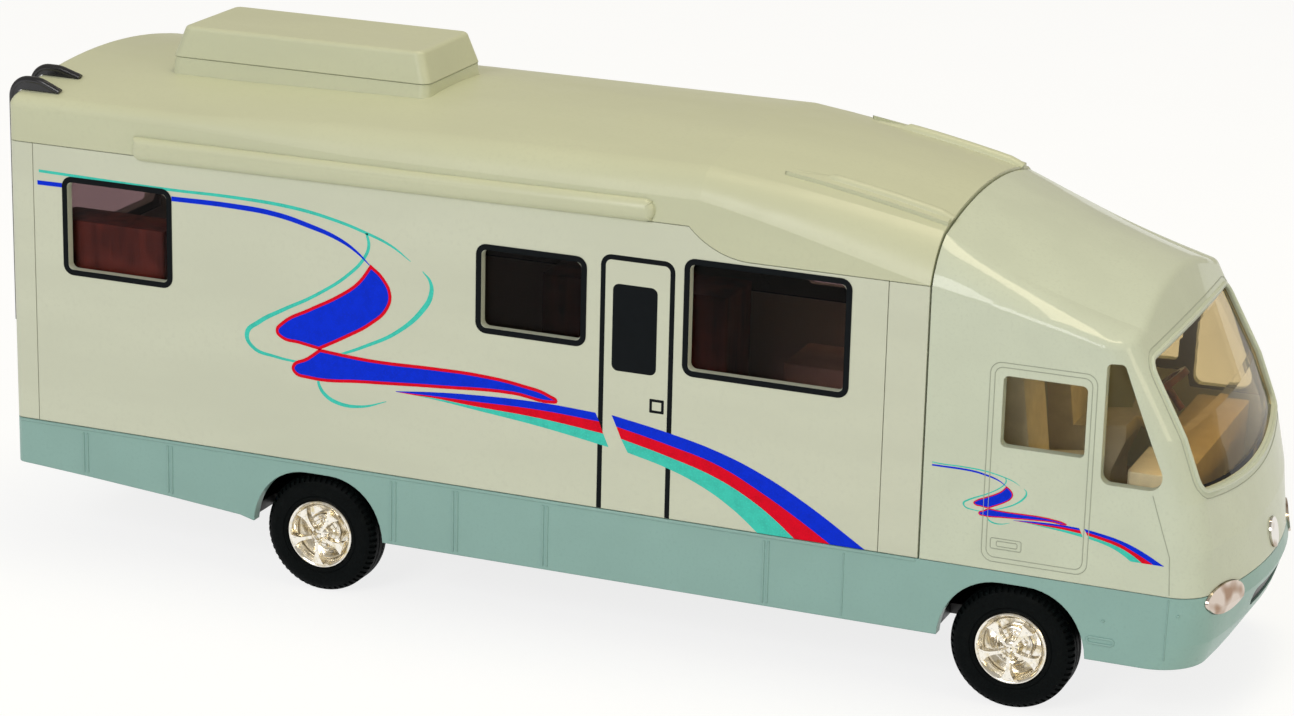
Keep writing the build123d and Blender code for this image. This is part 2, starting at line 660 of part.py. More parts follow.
with BuildPart() as base_screws:
    slot_length, slot_width, slot_depth = SCREW_SLOT
    for screw_x, under_z in SCREWS:
        with BuildSketch(Plane.XY.offset(under_z)):
            with Locations((screw_x, 0)):
                Circle(SCREW_HEAD_RADIUS)
        extrude(amount=SCREW_HEAD_HEIGHT)
        with BuildSketch(Plane.XY.offset(under_z + SCREW_HEAD_HEIGHT)):
            with Locations((screw_x, 0)):
                Circle(SCREW_RADIUS)
        extrude(amount=SCREW_LENGTH - SCREW_HEAD_HEIGHT)
        with BuildSketch(Plane.XY.offset(under_z)):
            with Locations((screw_x, 0)):
                Rectangle(slot_length, slot_width)
                Rectangle(slot_width, slot_length)
        extrude(amount=slot_depth, mode=Mode.SUBTRACT)
keep(base_screws.part, "base_screws")

# ---------------------------------------------------------------- coach walls
PANEL_REAR_X = FRONT_AXLE_X - 161.6
PANEL_FRONT_X = FRONT_AXLE_X - 20.6
WINDOW_BAND = 0.9         # width of the printed frame round a window
WINDOW_CORNER = 1.0
SIDE_WINDOWS = {
    # outer edge of the printed frame: x, z, x, z, with x from the front axle
    "bedroom": (-156.4, 46.1, -137.0, 62.0),
    "kitchen": (-85.4, 46.1, -67.4, 60.0),
    "lounge": (-52.0, 43.9, -26.1, 61.9),
}
SIDE_GLASS_BOTTOM_Z = 42.5
REAR_WINDOW = (0, 54.0, 30.0, 13.0)   # y, z, width, height
REAR_GLASS_MARGIN = 1.2
POCKET_Y = HALF_WIDTH - PANEL_THICKNESS

roof_region = above_seam(0)
wall_cutter = above_seam(-SEAM_GAP)
lip_cutter = above_seam(-SEAM_GAP - LIP_WIDTH)
glass_cutter = above_seam(-2 * SEAM_GAP - LIP_WIDTH)

with BuildPart() as side_openings:
    with BuildSketch(Plane.XZ):
        for x0, z0, x1, z1 in SIDE_WINDOWS.values():
            with Locations((FRONT_AXLE_X + (x0 + x1) / 2, (z0 + z1) / 2)):
                RectangleRounded(x1 - x0 - 2 * WINDOW_BAND, z1 - z0 - 2 * WINDOW_BAND, WINDOW_CORNER)
    extrude(amount=WIDTH, both=True)


def wall_band(x0, x1, z0, outer_y, inner_y, side, trim):
    """Slab along one side wall, cut off below the roof's seam."""
    with BuildPart() as slab:
        with BuildSketch(Plane.XY.offset(z0)):
            with Locations(((x0 + x1) / 2, side * (outer_y + inner_y) / 2)):
                Rectangle(x1 - x0, outer_y - inner_y)
        extrude(amount=ABOVE_ROOF_Z - OVER - z0)
        add(trim, mode=Mode.SUBTRACT)
    return slab.part


with BuildPart() as coach_frame:
    with BuildSketch(Plane.XY.offset(BODY_BOTTOM_Z)):
        with Locations(((REAR_X + COACH_FRONT_X) / 2, 0)):
            Rectangle(COACH_FRONT_X - REAR_X, WIDTH)
        with Locations(((REAR_X + REAR_WALL + COACH_FRONT_X + OVER) / 2, 0)):
            Rectangle(
                COACH_FRONT_X + OVER - REAR_X - REAR_WALL, 2 * COACH_INNER_Y, mode=Mode.SUBTRACT
            )
    extrude(amount=SEAM_HIGH_Z - SEAM_GAP - BODY_BOTTOM_Z)
    add(upright(0), mode=Mode.INTERSECT)
    add(wall_cutter, mode=Mode.SUBTRACT)
    for side in SIDES.values():
        pocket = wall_band(
            PANEL_REAR_X, PANEL_FRONT_X, BODY_BOTTOM_Z - OVER,
            HALF_WIDTH + OVER, POCKET_Y, side, wall_cutter,
        )
        add(pocket, mode=Mode.SUBTRACT)
        through = wall_band(
            PANEL_REAR_X + LIP_WIDTH, PANEL_FRONT_X - LIP_WIDTH, BODY_BOTTOM_Z + LIP_WIDTH,
            HALF_WIDTH, COACH_INNER_Y - OVER, side, lip_cutter,
        )
        add(through, mode=Mode.SUBTRACT)
    with BuildSketch(Plane.YZ.offset(REAR_X - OVER)):
        with Locations(REAR_WINDOW[:2]):
            RectangleRounded(REAR_WINDOW[2], REAR_WINDOW[3], WINDOW_CORNER)
    extrude(amount=REAR_WALL + 2 * OVER, mode=Mode.SUBTRACT)
    lamp_y, lamp_z, lamp_width, lamp_height = TAIL_LAMP
    with BuildSketch(Plane.YZ.offset(REAR_X - OVER)):
        with Locations((lamp_y, lamp_z), (-lamp_y, lamp_z)):
            RectangleRounded(lamp_width + SEAM_GAP, lamp_height + SEAM_GAP, TAIL_LAMP_CORNER)
    extrude(amount=OVER + TAIL_LAMP_DEPTH, mode=Mode.SUBTRACT)
keep(coach_frame.part, "coach_frame")

for side_name, side in SIDES.items():
    with BuildPart() as side_panel:
        add(wall_band(
            PANEL_REAR_X + SEAM_GAP, PANEL_FRONT_X - SEAM_GAP, BODY_BOTTOM_Z,
            HALF_WIDTH, POCKET_Y, side, wall_cutter,
        ))
        add(side_openings.part, mode=Mode.SUBTRACT)
    keep(side_panel.part, f"side_panel_{side_name}")

    side_glass = wall_band(
        PANEL_REAR_X + LIP_WIDTH + SEAM_GAP, PANEL_FRONT_X - LIP_WIDTH - SEAM_GAP,
        SIDE_GLASS_BOTTOM_Z, POCKET_Y, POCKET_Y - GLASS_THICKNESS, side, glass_cutter,
    )
    keep(side_glass, f"side_glass_{side_name}")

    with BuildPart() as tail_lamp:
        with BuildSketch(Plane.YZ.offset(REAR_X - TAIL_LAMP_PROUD)):
            with Locations((side * lamp_y, lamp_z)):
                RectangleRounded(lamp_width, lamp_height, TAIL_LAMP_CORNER)
        extrude(amount=TAIL_LAMP_PROUD + TAIL_LAMP_DEPTH)
    keep(tail_lamp.part, f"tail_lamp_{side_name}")

with BuildPart() as rear_glass:
    with BuildSketch(Plane.YZ.offset(REAR_X + REAR_WALL)):
        with Locations(REAR_WINDOW[:2]):
            Rectangle(
                REAR_WINDOW[2] + 2 * REAR_GLASS_MARGIN, REAR_WINDOW[3] + 2 * REAR_GLASS_MARGIN
            )
    extrude(amount=GLASS_THICKNESS)
keep(rear_glass.part, "rear_glass")

# ---------------------------------------------------------------- roof
AWNING_REAR_X = FRONT_AXLE_X - 143.3
AWNING_FRONT_X = FRONT_AXLE_X - 57.3
AWNING_Z = 68.3
AWNING_PROUD = 1.3        # beyond the side wall
AWNING_HEIGHT = 3.0
AWNING_ROUND = 1.1
AC_MIDDLE_X = FRONT_AXLE_X - 123.9
# The air conditioner stands on a raised seat of the roof. Columns: height, then half
# width and half length of the outline there.
AC_JOINT_Z = 78.7
AC_SEAT = [
    (74.0, 10.9, 22.6),
    (AC_JOINT_Z, 9.8, 22.2),
]
AC_COVER = [
    (AC_JOINT_Z + SEAM_GAP, 9.9, 22.3),
    (83.6, 8.9, 20.7),
]
AC_CORNER = 1.5
AC_TOP_ROUND = 0.8
RIDGE_INNER_Y = 17.6
RIDGE_OUTER_Y = 19.8
RIDGE_REAR_X = FRONT_AXLE_X - 39.5
RIDGE_TAPER = 6.0         # length over which the ridge's rear end narrows
RIDGE_HEIGHT = 0.5


def lowered(station, x, drop):
    """A roof station moved to x and let down by the drop."""
    side_z, shoulder_y, shoulder_z, crown_z = station[1:]
    return (x, side_z - drop, shoulder_y - drop * ROUNDING_LEAN, shoulder_z - drop, crown_z - drop)


def coach_roof_form(inset, bottom_z):
    """Coach roof: rounded rear end, straight middle and a front that falls."""
    level = REAR_ROOF_STATIONS[0]
    wall_x = REAR_X - FRONT_AXLE_X + inset
    rounding = [lowered(level, wall_x + ahead, drop) for ahead, drop in ROOF_REAR_ROUNDING]
    with BuildPart() as form:
        add(roof_form(rounding, inset, bottom_z))
        add(roof_form([rounding[-1], level], inset, bottom_z))
        add(roof_form(REAR_ROOF_STATIONS, inset, bottom_z))
        add(roof_form([REAR_ROOF_STATIONS[-1], COACH_ROOF_STATIONS[0]], inset, bottom_z))
        add(roof_form(COACH_ROOF_STATIONS, inset, bottom_z))
    return form.part


def frustum(levels):
    """Rounded box through the air conditioner's levels."""
    with BuildPart() as form:
        for z, half_width, half_length in levels:
            with BuildSketch(Plane.XY.offset(z)):
                with Locations((AC_MIDDLE_X, 0)):
                    RectangleRounded(2 * half_length, 2 * half_width, AC_CORNER)
        loft(ruled=True)
    return form.part


with BuildPart() as ridge_prism:
    with BuildSketch(Plane.XY.offset(SEAM_HIGH_Z)):
        for side in SIDES.values():
            with BuildLine():
                Polyline(
                    (RIDGE_REAR_X, side * RIDGE_OUTER_Y),
                    (RIDGE_REAR_X + RIDGE_TAPER, side * RIDGE_INNER_Y),
                    (NOSE_X, side * RIDGE_INNER_Y),
                    (NOSE_X, side * RIDGE_OUTER_Y),
                    close=True,
                )
            make_face()
    extrude(amount=ABOVE_ROOF_Z - SEAM_HIGH_Z)

with BuildPart() as ridges:
    add(roof_form(COACH_ROOF_STATIONS, -RIDGE_HEIGHT, SEAM_LOW_Z))
    add(ridge_prism.part, mode=Mode.INTERSECT)


def awning_case(side):
    """Rolled-up awning in its case along the seam, its ends and long edges rounded."""
    length = AWNING_FRONT_X - AWNING_REAR_X
    with BuildPart() as case:
        with Locations(((AWNING_REAR_X + AWNING_FRONT_X) / 2, side * HALF_WIDTH, AWNING_Z)):
            Box(length, 2 * AWNING_PROUD, AWNING_HEIGHT)
        outer = case.faces().sort_by(Axis.Y)[0 if side < 0 else -1]
        fillet(outer.edges(), AWNING_ROUND)
    return case.part


with BuildPart() as roof_shell:
    add(coach_roof_form(0, SEAM_LOW_Z - OVER))
    add(ridges.part)
    add(frustum(AC_SEAT))
    add(coach_roof_form(ROOF_WALL, SEAM_LOW_Z - 2 * OVER), mode=Mode.SUBTRACT)
    add(upright(0), mode=Mode.INTERSECT)
    for side in SIDES.values():
        add(awning_case(side))
    add(roof_region, mode=Mode.INTERSECT)
    with Locations((COACH_FRONT_X, 0, 0)):
        Box(REACH, REACH, REACH, align=(Align.MIN, Align.CENTER, Align.CENTER), mode=Mode.SUBTRACT)
keep(roof_shell.part, "roof_shell")

with BuildPart() as air_conditioner:
    add(frustum(AC_COVER))
    fillet(air_conditioner.faces().sort_by(Axis.Z)[-1].edges(), AC_TOP_ROUND)
keep(air_conditioner.part, "air_conditioner")

# ---------------------------------------------------------------- ladder
LADDER_RAILS = [
    # y, height of the bend's top, height of the tip on the roof
    (-23.6, 75.8, 74.3),
    (-17.4, 76.5, 75.4),
]
RAIL_RADIUS = 0.6
RAIL_BOTTOM_Z = 36.5
RAIL_X = LADDER_BACK_X + RAIL_RADIUS
RAIL_BEND = 3.0
RAIL_CREST = 4.9          # from the rail's upright to where it falls to the roof
RAIL_CREST_BEND = 4.0
RAIL_TIP_X = REAR_X + 7.6
RAIL_WEB_DEPTH = 2.5      # of the web below the bent end, which lies on the roof
RAIL_WEB_HALF = 0.5       # half its thickness
RAIL_WEB_BACK = 0.5       # its upper edge falls this far before the rail does
BEND_CORNER = 0.3         # share of a bend's radius that the web's corner keeps clear of
RUNG_RADIUS = 0.5
RUNG_LOW_Z = 41.0
RUNG_PITCH = 6.4
RUNGS = 5
FOOT_HEIGHTS = (38.0, 69.0)


def rail_web(rail_y, bend_z, tip_z):
    """Web that fills the space between a rail's bent end and the roof."""
    corner = RAIL_BEND * BEND_CORNER
    with BuildPart() as web:
        with BuildSketch(Plane.XZ.offset(-rail_y)):
            with BuildLine():
                Polyline(
                    (RAIL_X, tip_z - RAIL_WEB_DEPTH),
                    (RAIL_X, bend_z - RAIL_BEND),
                    (RAIL_X + corner, bend_z - corner),
                    (RAIL_X + RAIL_BEND, bend_z),
                    (RAIL_X + RAIL_CREST - RAIL_WEB_BACK, bend_z),
                    (RAIL_TIP_X, tip_z),
                    (RAIL_TIP_X, tip_z - RAIL_WEB_DEPTH),
                    close=True,
                )
            make_face()
        extrude(amount=RAIL_WEB_HALF, both=True)
    return web.part


with BuildPart() as ladder:
    for rail_y, bend_z, tip_z in LADDER_RAILS:
        with BuildLine() as rail_path:
            FilletPolyline(
                (RAIL_X, rail_y, RAIL_BOTTOM_Z),
                (RAIL_X, rail_y, bend_z),
                (RAIL_X + RAIL_CREST, rail_y, bend_z),
                (RAIL_TIP_X, rail_y, tip_z),
                radius=(RAIL_BEND, RAIL_CREST_BEND),
            )
        with BuildSketch(Plane(origin=(RAIL_X, rail_y, RAIL_BOTTOM_Z), z_dir=(0, 0, 1))):
            Circle(RAIL_RADIUS)
        sweep(path=rail_path.line)
        add(rail_web(rail_y, bend_z, tip_z))
        with BuildSketch(Plane.YZ.offset(RAIL_X)):
            with Locations(*[(rail_y, foot_z) for foot_z in FOOT_HEIGHTS]):
                Circle(RUNG_RADIUS)
        extrude(amount=REAR_X - RAIL_X)
    first_y = LADDER_RAILS[0][0]
    with BuildSketch(Plane(origin=(RAIL_X, first_y, 0), x_dir=(1, 0, 0), z_dir=(0, 1, 0))):
        with Locations(*[(0, -(RUNG_LOW_Z + n * RUNG_PITCH)) for n in range(RUNGS)]):
            Circle(RUNG_RADIUS)
    extrude(amount=LADDER_RAILS[1][0] - first_y)
    add(coach_roof_form(-SEAM_GAP, SEAM_LOW_Z - OVER), mode=Mode.SUBTRACT)
keep(ladder.part, "ladder")

# ---------------------------------------------------------------- inside
FLOOR_THICKNESS = 1.0
FLOOR_FRONT_X = FRONT_AXLE_X + 19.0
FLOOR_REAR_X = REAR_X + REAR_WALL + SEAM_GAP
FLOOR_TOP_Z = BODY_BOTTOM_Z + FLOOR_THICKNESS
FURNITURE_WALL_GAP = 0.4
FURNITURE_WALL_Y = COACH_INNER_Y - FURNITURE_WALL_GAP
FURNITURE_CORNER = 0.6

with BuildPart() as interior_floor:
    with BuildSketch(Plane.XY.offset(BODY_BOTTOM_Z)):
        with Locations(((FLOOR_REAR_X + FLOOR_FRONT_X) / 2, 0)):
            Rectangle(FLOOR_FRONT_X - FLOOR_REAR_X, 2 * (COACH_INNER_Y - SEAM_GAP))
    extrude(amount=FLOOR_THICKNESS)
keep(interior_floor.part, "interior_floor")

SEATS = {"driver_seat": 11.5, "passenger_seat": -11.5}
SEAT_X = FRONT_AXLE_X + 1.0
SEAT_WIDTH = 10.0
SEAT_HEAD_ROUND = 0.8
SEAT_PROFILE = [
    # x from the seat's middle, height over the floor
    (-4.0, 0.0),
    (4.0, 0.0),
    (4.0, 5.0),
    (6.0, 10.0),
    (6.0, 12.5),
    (-2.2, 11.5),
    (-4.5, 29.0),
    (-7.5, 28.5),
    (-6.0, 9.0),
]
for seat_name, seat_y in SEATS.items():
    with BuildPart() as seat:
        with BuildSketch(Plane.XZ.offset(-seat_y)):
            with BuildLine():
                Polyline(*[(SEAT_X + x, FLOOR_TOP_Z + z) for x, z in SEAT_PROFILE], close=True)
            make_face()
        extrude(amount=SEAT_WIDTH / 2, both=True)
        fillet(seat.edges().filter_by(Axis.Y).group_by(Axis.Z)[-1], SEAT_HEAD_ROUND)
    keep(seat.part, seat_name)

DASHBOARD = (14.0, 21.8, 20.0, 14.5)  # x range from the front axle, half width, height
with BuildPart() as dashboard:
    x0, x1, half_width, height = DASHBOARD
    with BuildSketch(Plane.XY.offset(FLOOR_TOP_Z)):
        with Locations((FRONT_AXLE_X + (x0 + x1) / 2, 0)):
            Rectangle(x1 - x0, 2 * half_width)
    extrude(amount=height)
    fillet(dashboard.edges().filter_by(Axis.Z), FURNITURE_CORNER)
keep(dashboard.part, "dashboard")

BEDROOM_REAR_X = FLOOR_REAR_X + 3.9
CABINET_DEPTH = 7.4
BED_GAP = 1.0             # between the bed and the cabinet beside it
BED_WIDTH = 2 * FURNITURE_WALL_Y - CABINET_DEPTH - BED_GAP
LOUNGE_REAR_X = FRONT_AXLE_X - 50.0
KITCHEN_REAR_X = FRONT_AXLE_X - 92.0
WARDROBE_GAP = 14.0       # between the bed's foot and the wardrobe
BED_LENGTH = 42.0
FURNITURE = {
    # rear end, length, side of its wall, depth from the wall, height
    "sofa": (LOUNGE_REAR_X, 25.5, 1, 12.4, 13.0),
    "dinette_table": (LOUNGE_REAR_X + 3.0, 17.0, -1, 11.9, 17.0),
    "kitchen_counter": (KITCHEN_REAR_X, 32.0, 1, 11.4, 22.0),
    "wardrobe": (BEDROOM_REAR_X + BED_LENGTH + WARDROBE_GAP, 11.0, -1, 16.4, 38.0),
    "bed": (BEDROOM_REAR_X, BED_LENGTH, 1, BED_WIDTH, 15.0),
    "bedroom_cabinet": (BEDROOM_REAR_X, 20.0, -1, CABINET_DEPTH, 32.0),
}
for piece_name, (rear_end, length, side, depth, height) in FURNITURE.items():
    with BuildPart() as piece:
        with BuildSketch(Plane.XY.offset(FLOOR_TOP_Z)):
            middle_y = side * (FURNITURE_WALL_Y - depth / 2)
            with Locations((rear_end + length / 2, middle_y)):
                Rectangle(length, depth)
        extrude(amount=height)
        fillet(piece.edges().filter_by(Axis.Z), FURNITURE_CORNER)
    keep(piece.part, piece_name)

WHEEL_CENTRE = (FRONT_AXLE_X + 11.0, SEATS["driver_seat"], FLOOR_TOP_Z + 17.5)
STEERING_AXIS = (-1, 0, 1.2)
STEERING_RADIUS = 3.6
STEERING_GRIP = 0.5
STEERING_THICKNESS = 1.0
STEERING_HUB_RADIUS = 1.2
COLUMN_RADIUS = 0.6
COLUMN_LENGTH = 4.0
with BuildPart() as steering_wheel:
    tilt = Plane(origin=WHEEL_CENTRE, x_dir=(0, 1, 0), z_dir=STEERING_AXIS)
    with BuildSketch(tilt):
        Circle(STEERING_RADIUS + STEERING_GRIP)
        Circle(STEERING_RADIUS - STEERING_GRIP, mode=Mode.SUBTRACT)
        Rectangle(2 * STEERING_RADIUS, 2 * STEERING_GRIP)
        Circle(STEERING_HUB_RADIUS)
    extrude(amount=STEERING_THICKNESS)
    with BuildSketch(tilt):
        Circle(COLUMN_RADIUS)
    extrude(amount=-COLUMN_LENGTH)
keep(steering_wheel.part, "steering_wheel")
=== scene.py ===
"""Toy motorhome: finishes, printed graphics, trim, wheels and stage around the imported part."""
import json
import math

import bpy
from bpy.props import FloatProperty, FloatVectorProperty, IntProperty, PointerProperty
from mathutils import Matrix, Vector


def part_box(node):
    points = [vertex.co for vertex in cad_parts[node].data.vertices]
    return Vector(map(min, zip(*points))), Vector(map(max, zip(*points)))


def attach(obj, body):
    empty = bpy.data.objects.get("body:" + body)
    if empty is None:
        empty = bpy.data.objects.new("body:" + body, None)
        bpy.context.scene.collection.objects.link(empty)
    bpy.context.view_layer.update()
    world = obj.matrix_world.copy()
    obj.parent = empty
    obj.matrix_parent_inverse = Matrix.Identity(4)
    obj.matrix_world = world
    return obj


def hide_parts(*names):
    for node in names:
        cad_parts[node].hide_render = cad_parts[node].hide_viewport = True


bl_info = {
    "name": "Toy Motorhome",
    "version": (1, 0, 0),
    "blender": (4, 5, 0),
    "location": "View3D > Sidebar > Motorhome",
    "description": "Dresses a toy motorhome with its paint, printed graphics, trim and wheels",
    "category": "Object",
}

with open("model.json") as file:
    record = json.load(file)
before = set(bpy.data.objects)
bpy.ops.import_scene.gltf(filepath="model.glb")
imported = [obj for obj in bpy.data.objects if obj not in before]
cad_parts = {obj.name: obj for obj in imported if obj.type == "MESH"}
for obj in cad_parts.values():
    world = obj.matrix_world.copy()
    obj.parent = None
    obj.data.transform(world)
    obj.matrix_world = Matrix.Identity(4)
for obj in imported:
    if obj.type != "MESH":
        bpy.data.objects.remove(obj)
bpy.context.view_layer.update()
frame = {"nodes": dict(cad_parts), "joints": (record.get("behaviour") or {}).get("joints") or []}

MM = 0.001                 # tables below are in millimetres
HUBS = {joint["child"]: Vector(joint["pos_m"]) / MM for joint in frame["joints"]}
AXLE_X = HUBS["front_wheels"].x
SIDE_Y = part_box("lower_skirt")[1].y / MM      # flat side wall
SKIRT_TOP_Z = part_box("lower_skirt")[1].z / MM
REAR_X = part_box("coach_frame")[0].x / MM
INK = 0.012                # thickness of a printed layer
SIDES = {"right": -1, "left": 1}
RAY_START = 20.0           # how far off a side wall a ray towards it starts
CORNER_STEPS = 6           # steps round each corner of a rounded box


# ---------------------------------------------------------------- settings
def colour_property(name, description, default):
    """A colour that a user may change."""
    return FloatVectorProperty(
        name=name, description=description, default=default,
        subtype="COLOR", size=3, min=0.0, max=1.0,
    )


def length_property(name, description, default):
    """A length in metres that a user may change."""
    return FloatProperty(
        name=name, description=description, default=default * MM, min=0.0, unit="LENGTH", precision=6,
    )


class BodyColours(bpy.types.PropertyGroup):
    """Paint and plastic colours of the body."""
    cab: colour_property("Cab enamel", "Gloss enamel of the cab", (0.645, 0.71, 0.58))
    coach: colour_property("Coach plastic", "Satin plastic of the coach walls", (0.665, 0.705, 0.58))
    # The roof is a separate moulding; its darker, yellower colour also paints the warm light and shade that
    # fall on the top.
    roof: colour_property("Roof plastic", "Moulded roof and roof unit", (0.62, 0.652, 0.47))
    skirt: colour_property("Skirt enamel", "Satin enamel of the skirts", (0.275, 0.475, 0.45))
    base: colour_property("Base plastic", "Base, ladder and grille", (0.012, 0.012, 0.013))
    glass: colour_property("Cab glass tint", "Amber tint of the cab's side glass", (0.97, 0.91, 0.76))
    screen: colour_property("Windscreen tint", "Amber tint of the windscreen", (0.64, 0.52, 0.30))
    coach_glass: colour_property("Coach glass tint", "Smoked tint of the coach windows", (0.42, 0.33, 0.34))


class GraphicInks(bpy.types.PropertyGroup):
    """Inks of the printed graphics."""
    blue: colour_property("Blue ink", "Leaves, line and upper band", (0.0, 0.03, 0.80))
    red: colour_property("Red ink", "Outlines and middle band", (0.80, 0.0, 0.02))
    teal: colour_property("Teal ink", "Loops and lower band", (0.06, 0.66, 0.56))
    black: colour_property("Black ink", "Window frames and entry door", (0.003, 0.005, 0.007))
    outline: length_property("Leaf outline", "Width of the red edge round a leaf", 0.5)
    window_band: length_property("Window frame", "Width of the frame round a window", 0.9)


class WheelDetail(bpy.types.PropertyGroup):
    """Tyre lugs and rim parts."""
    lugs: IntProperty(name="Shoulder lugs", description="Lugs round each tyre", default=58, min=12, max=120)
    groove: length_property("Lug groove", "Depth of the groove between two lugs", 0.28)
    spokes: IntProperty(name="Spokes", description="Spokes of each rim", default=5, min=3, max=9)


class StageSettings(bpy.types.PropertyGroup):
    """Floor, lamps and camera."""
    floor: colour_property("Floor", "Pale floor", (0.88, 0.89, 0.89))
    key: FloatProperty(
        name="Key lamp", description="Power of the lamp beside the camera", default=3.4, min=0.0,
    )
    top: FloatProperty(
        name="Top lamp", description="Power of the overhead and front lamps", default=2.6, min=0.0,
    )
    lens: FloatProperty(name="Lens", description="Focal length in millimetres", default=101.68, min=10.0)


# ---------------------------------------------------------------- finishes
MIX_SOCKETS = {"factor": 0, "first": 6, "second": 7, "result": 2}     # of a colour mix node


class Finish:
    """A node material built round one Principled shader, read in object coordinates."""

    def __init__(self, name, colour, roughness, metallic=0.0, coat=0.0, coat_roughness=0.05):
        self.material = bpy.data.materials.new(name)
        self.material.use_nodes = True
        self.tree = self.material.node_tree
        self.shader = self.tree.nodes["Principled BSDF"]
        self.output = self.tree.nodes["Material Output"]
        self.place = self.node("ShaderNodeTexCoord").outputs["Object"]
        self.colour = (*colour, 1.0)
        self.shader.inputs["Base Color"].default_value = self.colour
        self.shader.inputs["Roughness"].default_value = roughness
        self.shader.inputs["Metallic"].default_value = metallic
        self.shader.inputs["Coat Weight"].default_value = coat
        self.shader.inputs["Coat Roughness"].default_value = coat_roughness
        self.roughness = roughness
        self.normal = None

    def node(self, kind, inputs=None, **settings):
        """Add a node; inputs are values or sockets by name or index."""
        made = self.tree.nodes.new(kind)
        for key, value in settings.items():
            setattr(made, key, value)
        for key, value in (inputs or {}).items():
            if isinstance(value, bpy.types.NodeSocket):
                self.tree.links.new(value, made.inputs[key])
            else:
                made.inputs[key].default_value = value
        return made

    def noise(self, size, detail=3.0, stretch=(1.0, 1.0, 1.0)):
        """Noise whose blotches are about size millimetres."""
        placed = self.node("ShaderNodeMapping", {"Vector": self.place, "Scale": stretch})
        made = self.node(
            "ShaderNodeTexNoise",
            {"Vector": placed.outputs[0], "Scale": 1.0 / (size * MM), "Detail": detail},
        )
        return made.outputs["Fac"]

    def span(self, value, low, high, to_low, to_high):
        """Stretch a value from one range to another."""
        made = self.node(
            "ShaderNodeMapRange",
            {"Value": value, "From Min": low, "From Max": high, "To Min": to_low, "To Max": to_high},
        )
        return made.outputs[0]

    def tone(self, size, shade, low=0.35, high=0.65, detail=3.0, stretch=(1.0, 1.0, 1.0)):
        """Vary the colour towards a shade in blotches of about size millimetres."""
        fac = self.span(self.noise(size, detail, stretch), low, high, 0.0, 1.0)
        before = self.shader.inputs["Base Color"]
        first = before.links[0].from_socket if before.links else self.colour
        self.tree.links.new(self.colour_mix(fac, first, (*shade, 1.0)), before)
        return self

    def colour_mix(self, fac, first, second):
        """Mix two colours."""
        made = self.tree.nodes.new("ShaderNodeMix")
        made.data_type = "RGBA"
        for key, value in (("factor", fac), ("first", first), ("second", second)):
            socket = made.inputs[MIX_SOCKETS[key]]
            if isinstance(value, bpy.types.NodeSocket):
                self.tree.links.new(value, socket)
            else:
                socket.default_value = value
        return made.outputs[MIX_SOCKETS["result"]]

    def sheen_spots(self, size, spread):
        """Vary the roughness either way by the spread."""
        value = self.span(
            self.noise(size), 0.3, 0.7, self.roughness - spread, self.roughness + spread
        )
        self.tree.links.new(value, self.shader.inputs["Roughness"])
        return self

    def soft_edges(self, radius):
        """Round the sharp edges in the shading."""
        made = self.node("ShaderNodeBevel", {"Radius": radius * MM}, samples=4)
        self.normal = made.outputs[0]
        self.tree.links.new(self.normal, self.shader.inputs["Normal"])
        return self

    def relief(self, height, depth):
        """Bump by a height value, depth in millimetres."""
        made = self.node("ShaderNodeBump", {"Height": height, "Distance": depth * MM})
        if self.normal is not None:
            self.tree.links.new(self.normal, made.inputs["Normal"])
        self.normal = made.outputs[0]
        self.tree.links.new(self.normal, self.shader.inputs["Normal"])
        return self

    def grain(self, size, depth, detail=2.0):
        """Fine surface grain."""
        return self.relief(self.noise(size, detail), depth)


def shade_of(colour, factor):
    """A darker or lighter shade of a colour."""
    return tuple(min(1.0, channel * factor) for channel in colour)


def scaled(colour, shares):
    """A colour with each channel cut to its own share."""
    return tuple(channel * share for channel, share in zip(colour, shares))


ENAMELS = {
    "gloss": {"roughness": 0.5, "coat": 0.55, "coat_roughness": 0.03, "specular": 0.25, "peel": 0.006},
    "satin": {"roughness": 0.42, "coat": 0.25, "coat_roughness": 0.15, "specular": 0.5, "peel": 0.012},
}


def enamel(name, colour, sheen):
    """Sprayed enamel on die-cast metal: slight orange peel under a clear coat."""
    values = ENAMELS[sheen]
    finish = Finish(
        name, colour, values["roughness"],
        coat=values["coat"], coat_roughness=values["coat_roughness"],
    )
    finish.shader.inputs["Specular IOR Level"].default_value = values["specular"]
    finish.tone(9.0, shade_of(colour, 0.955)).tone(0.5, shade_of(colour, 0.93), 0.52, 0.75)
    finish.sheen_spots(4.0, 0.05).soft_edges(0.25)
    finish.grain(1.1, values["peel"])


def moulding(name, colour, grain):
    """Moulded plastic with faint flow marks and a fine grain."""
    finish = Finish(name, colour, 0.42, coat=0.12, coat_roughness=0.25)
    finish.tone(14.0, shade_of(colour, 0.95), stretch=(0.4, 1.0, 1.6))
    finish.tone(0.7, shade_of(colour, 0.95), 0.5, 0.8)
    finish.sheen_spots(6.0, 0.05).soft_edges(0.2)
    finish.grain(0.45, grain)


def dark_plastic(name, colour, roughness):
    """Black moulded plastic with scuffs that catch the light."""
    finish = Finish(name, colour, roughness, coat=0.2, coat_roughness=0.2)
    finish.tone(3.0, shade_of(colour, 2.2), 0.5, 0.8).sheen_spots(2.0, 0.08).soft_edges(0.15)
    finish.grain(0.4, 0.01)


def ink(name, colour):
    """Pad-printed ink, a little uneven, with a soft sheen."""
    finish = Finish(name, colour, 0.45)
    finish.shader.inputs["Specular IOR Level"].default_value = 0.1
    finish.tone(1.6, shade_of(colour, 0.86), 0.4, 0.7).tone(0.3, shade_of(colour, 1.12), 0.5, 0.75)
    finish.sheen_spots(1.2, 0.05).grain(0.35, 0.004)


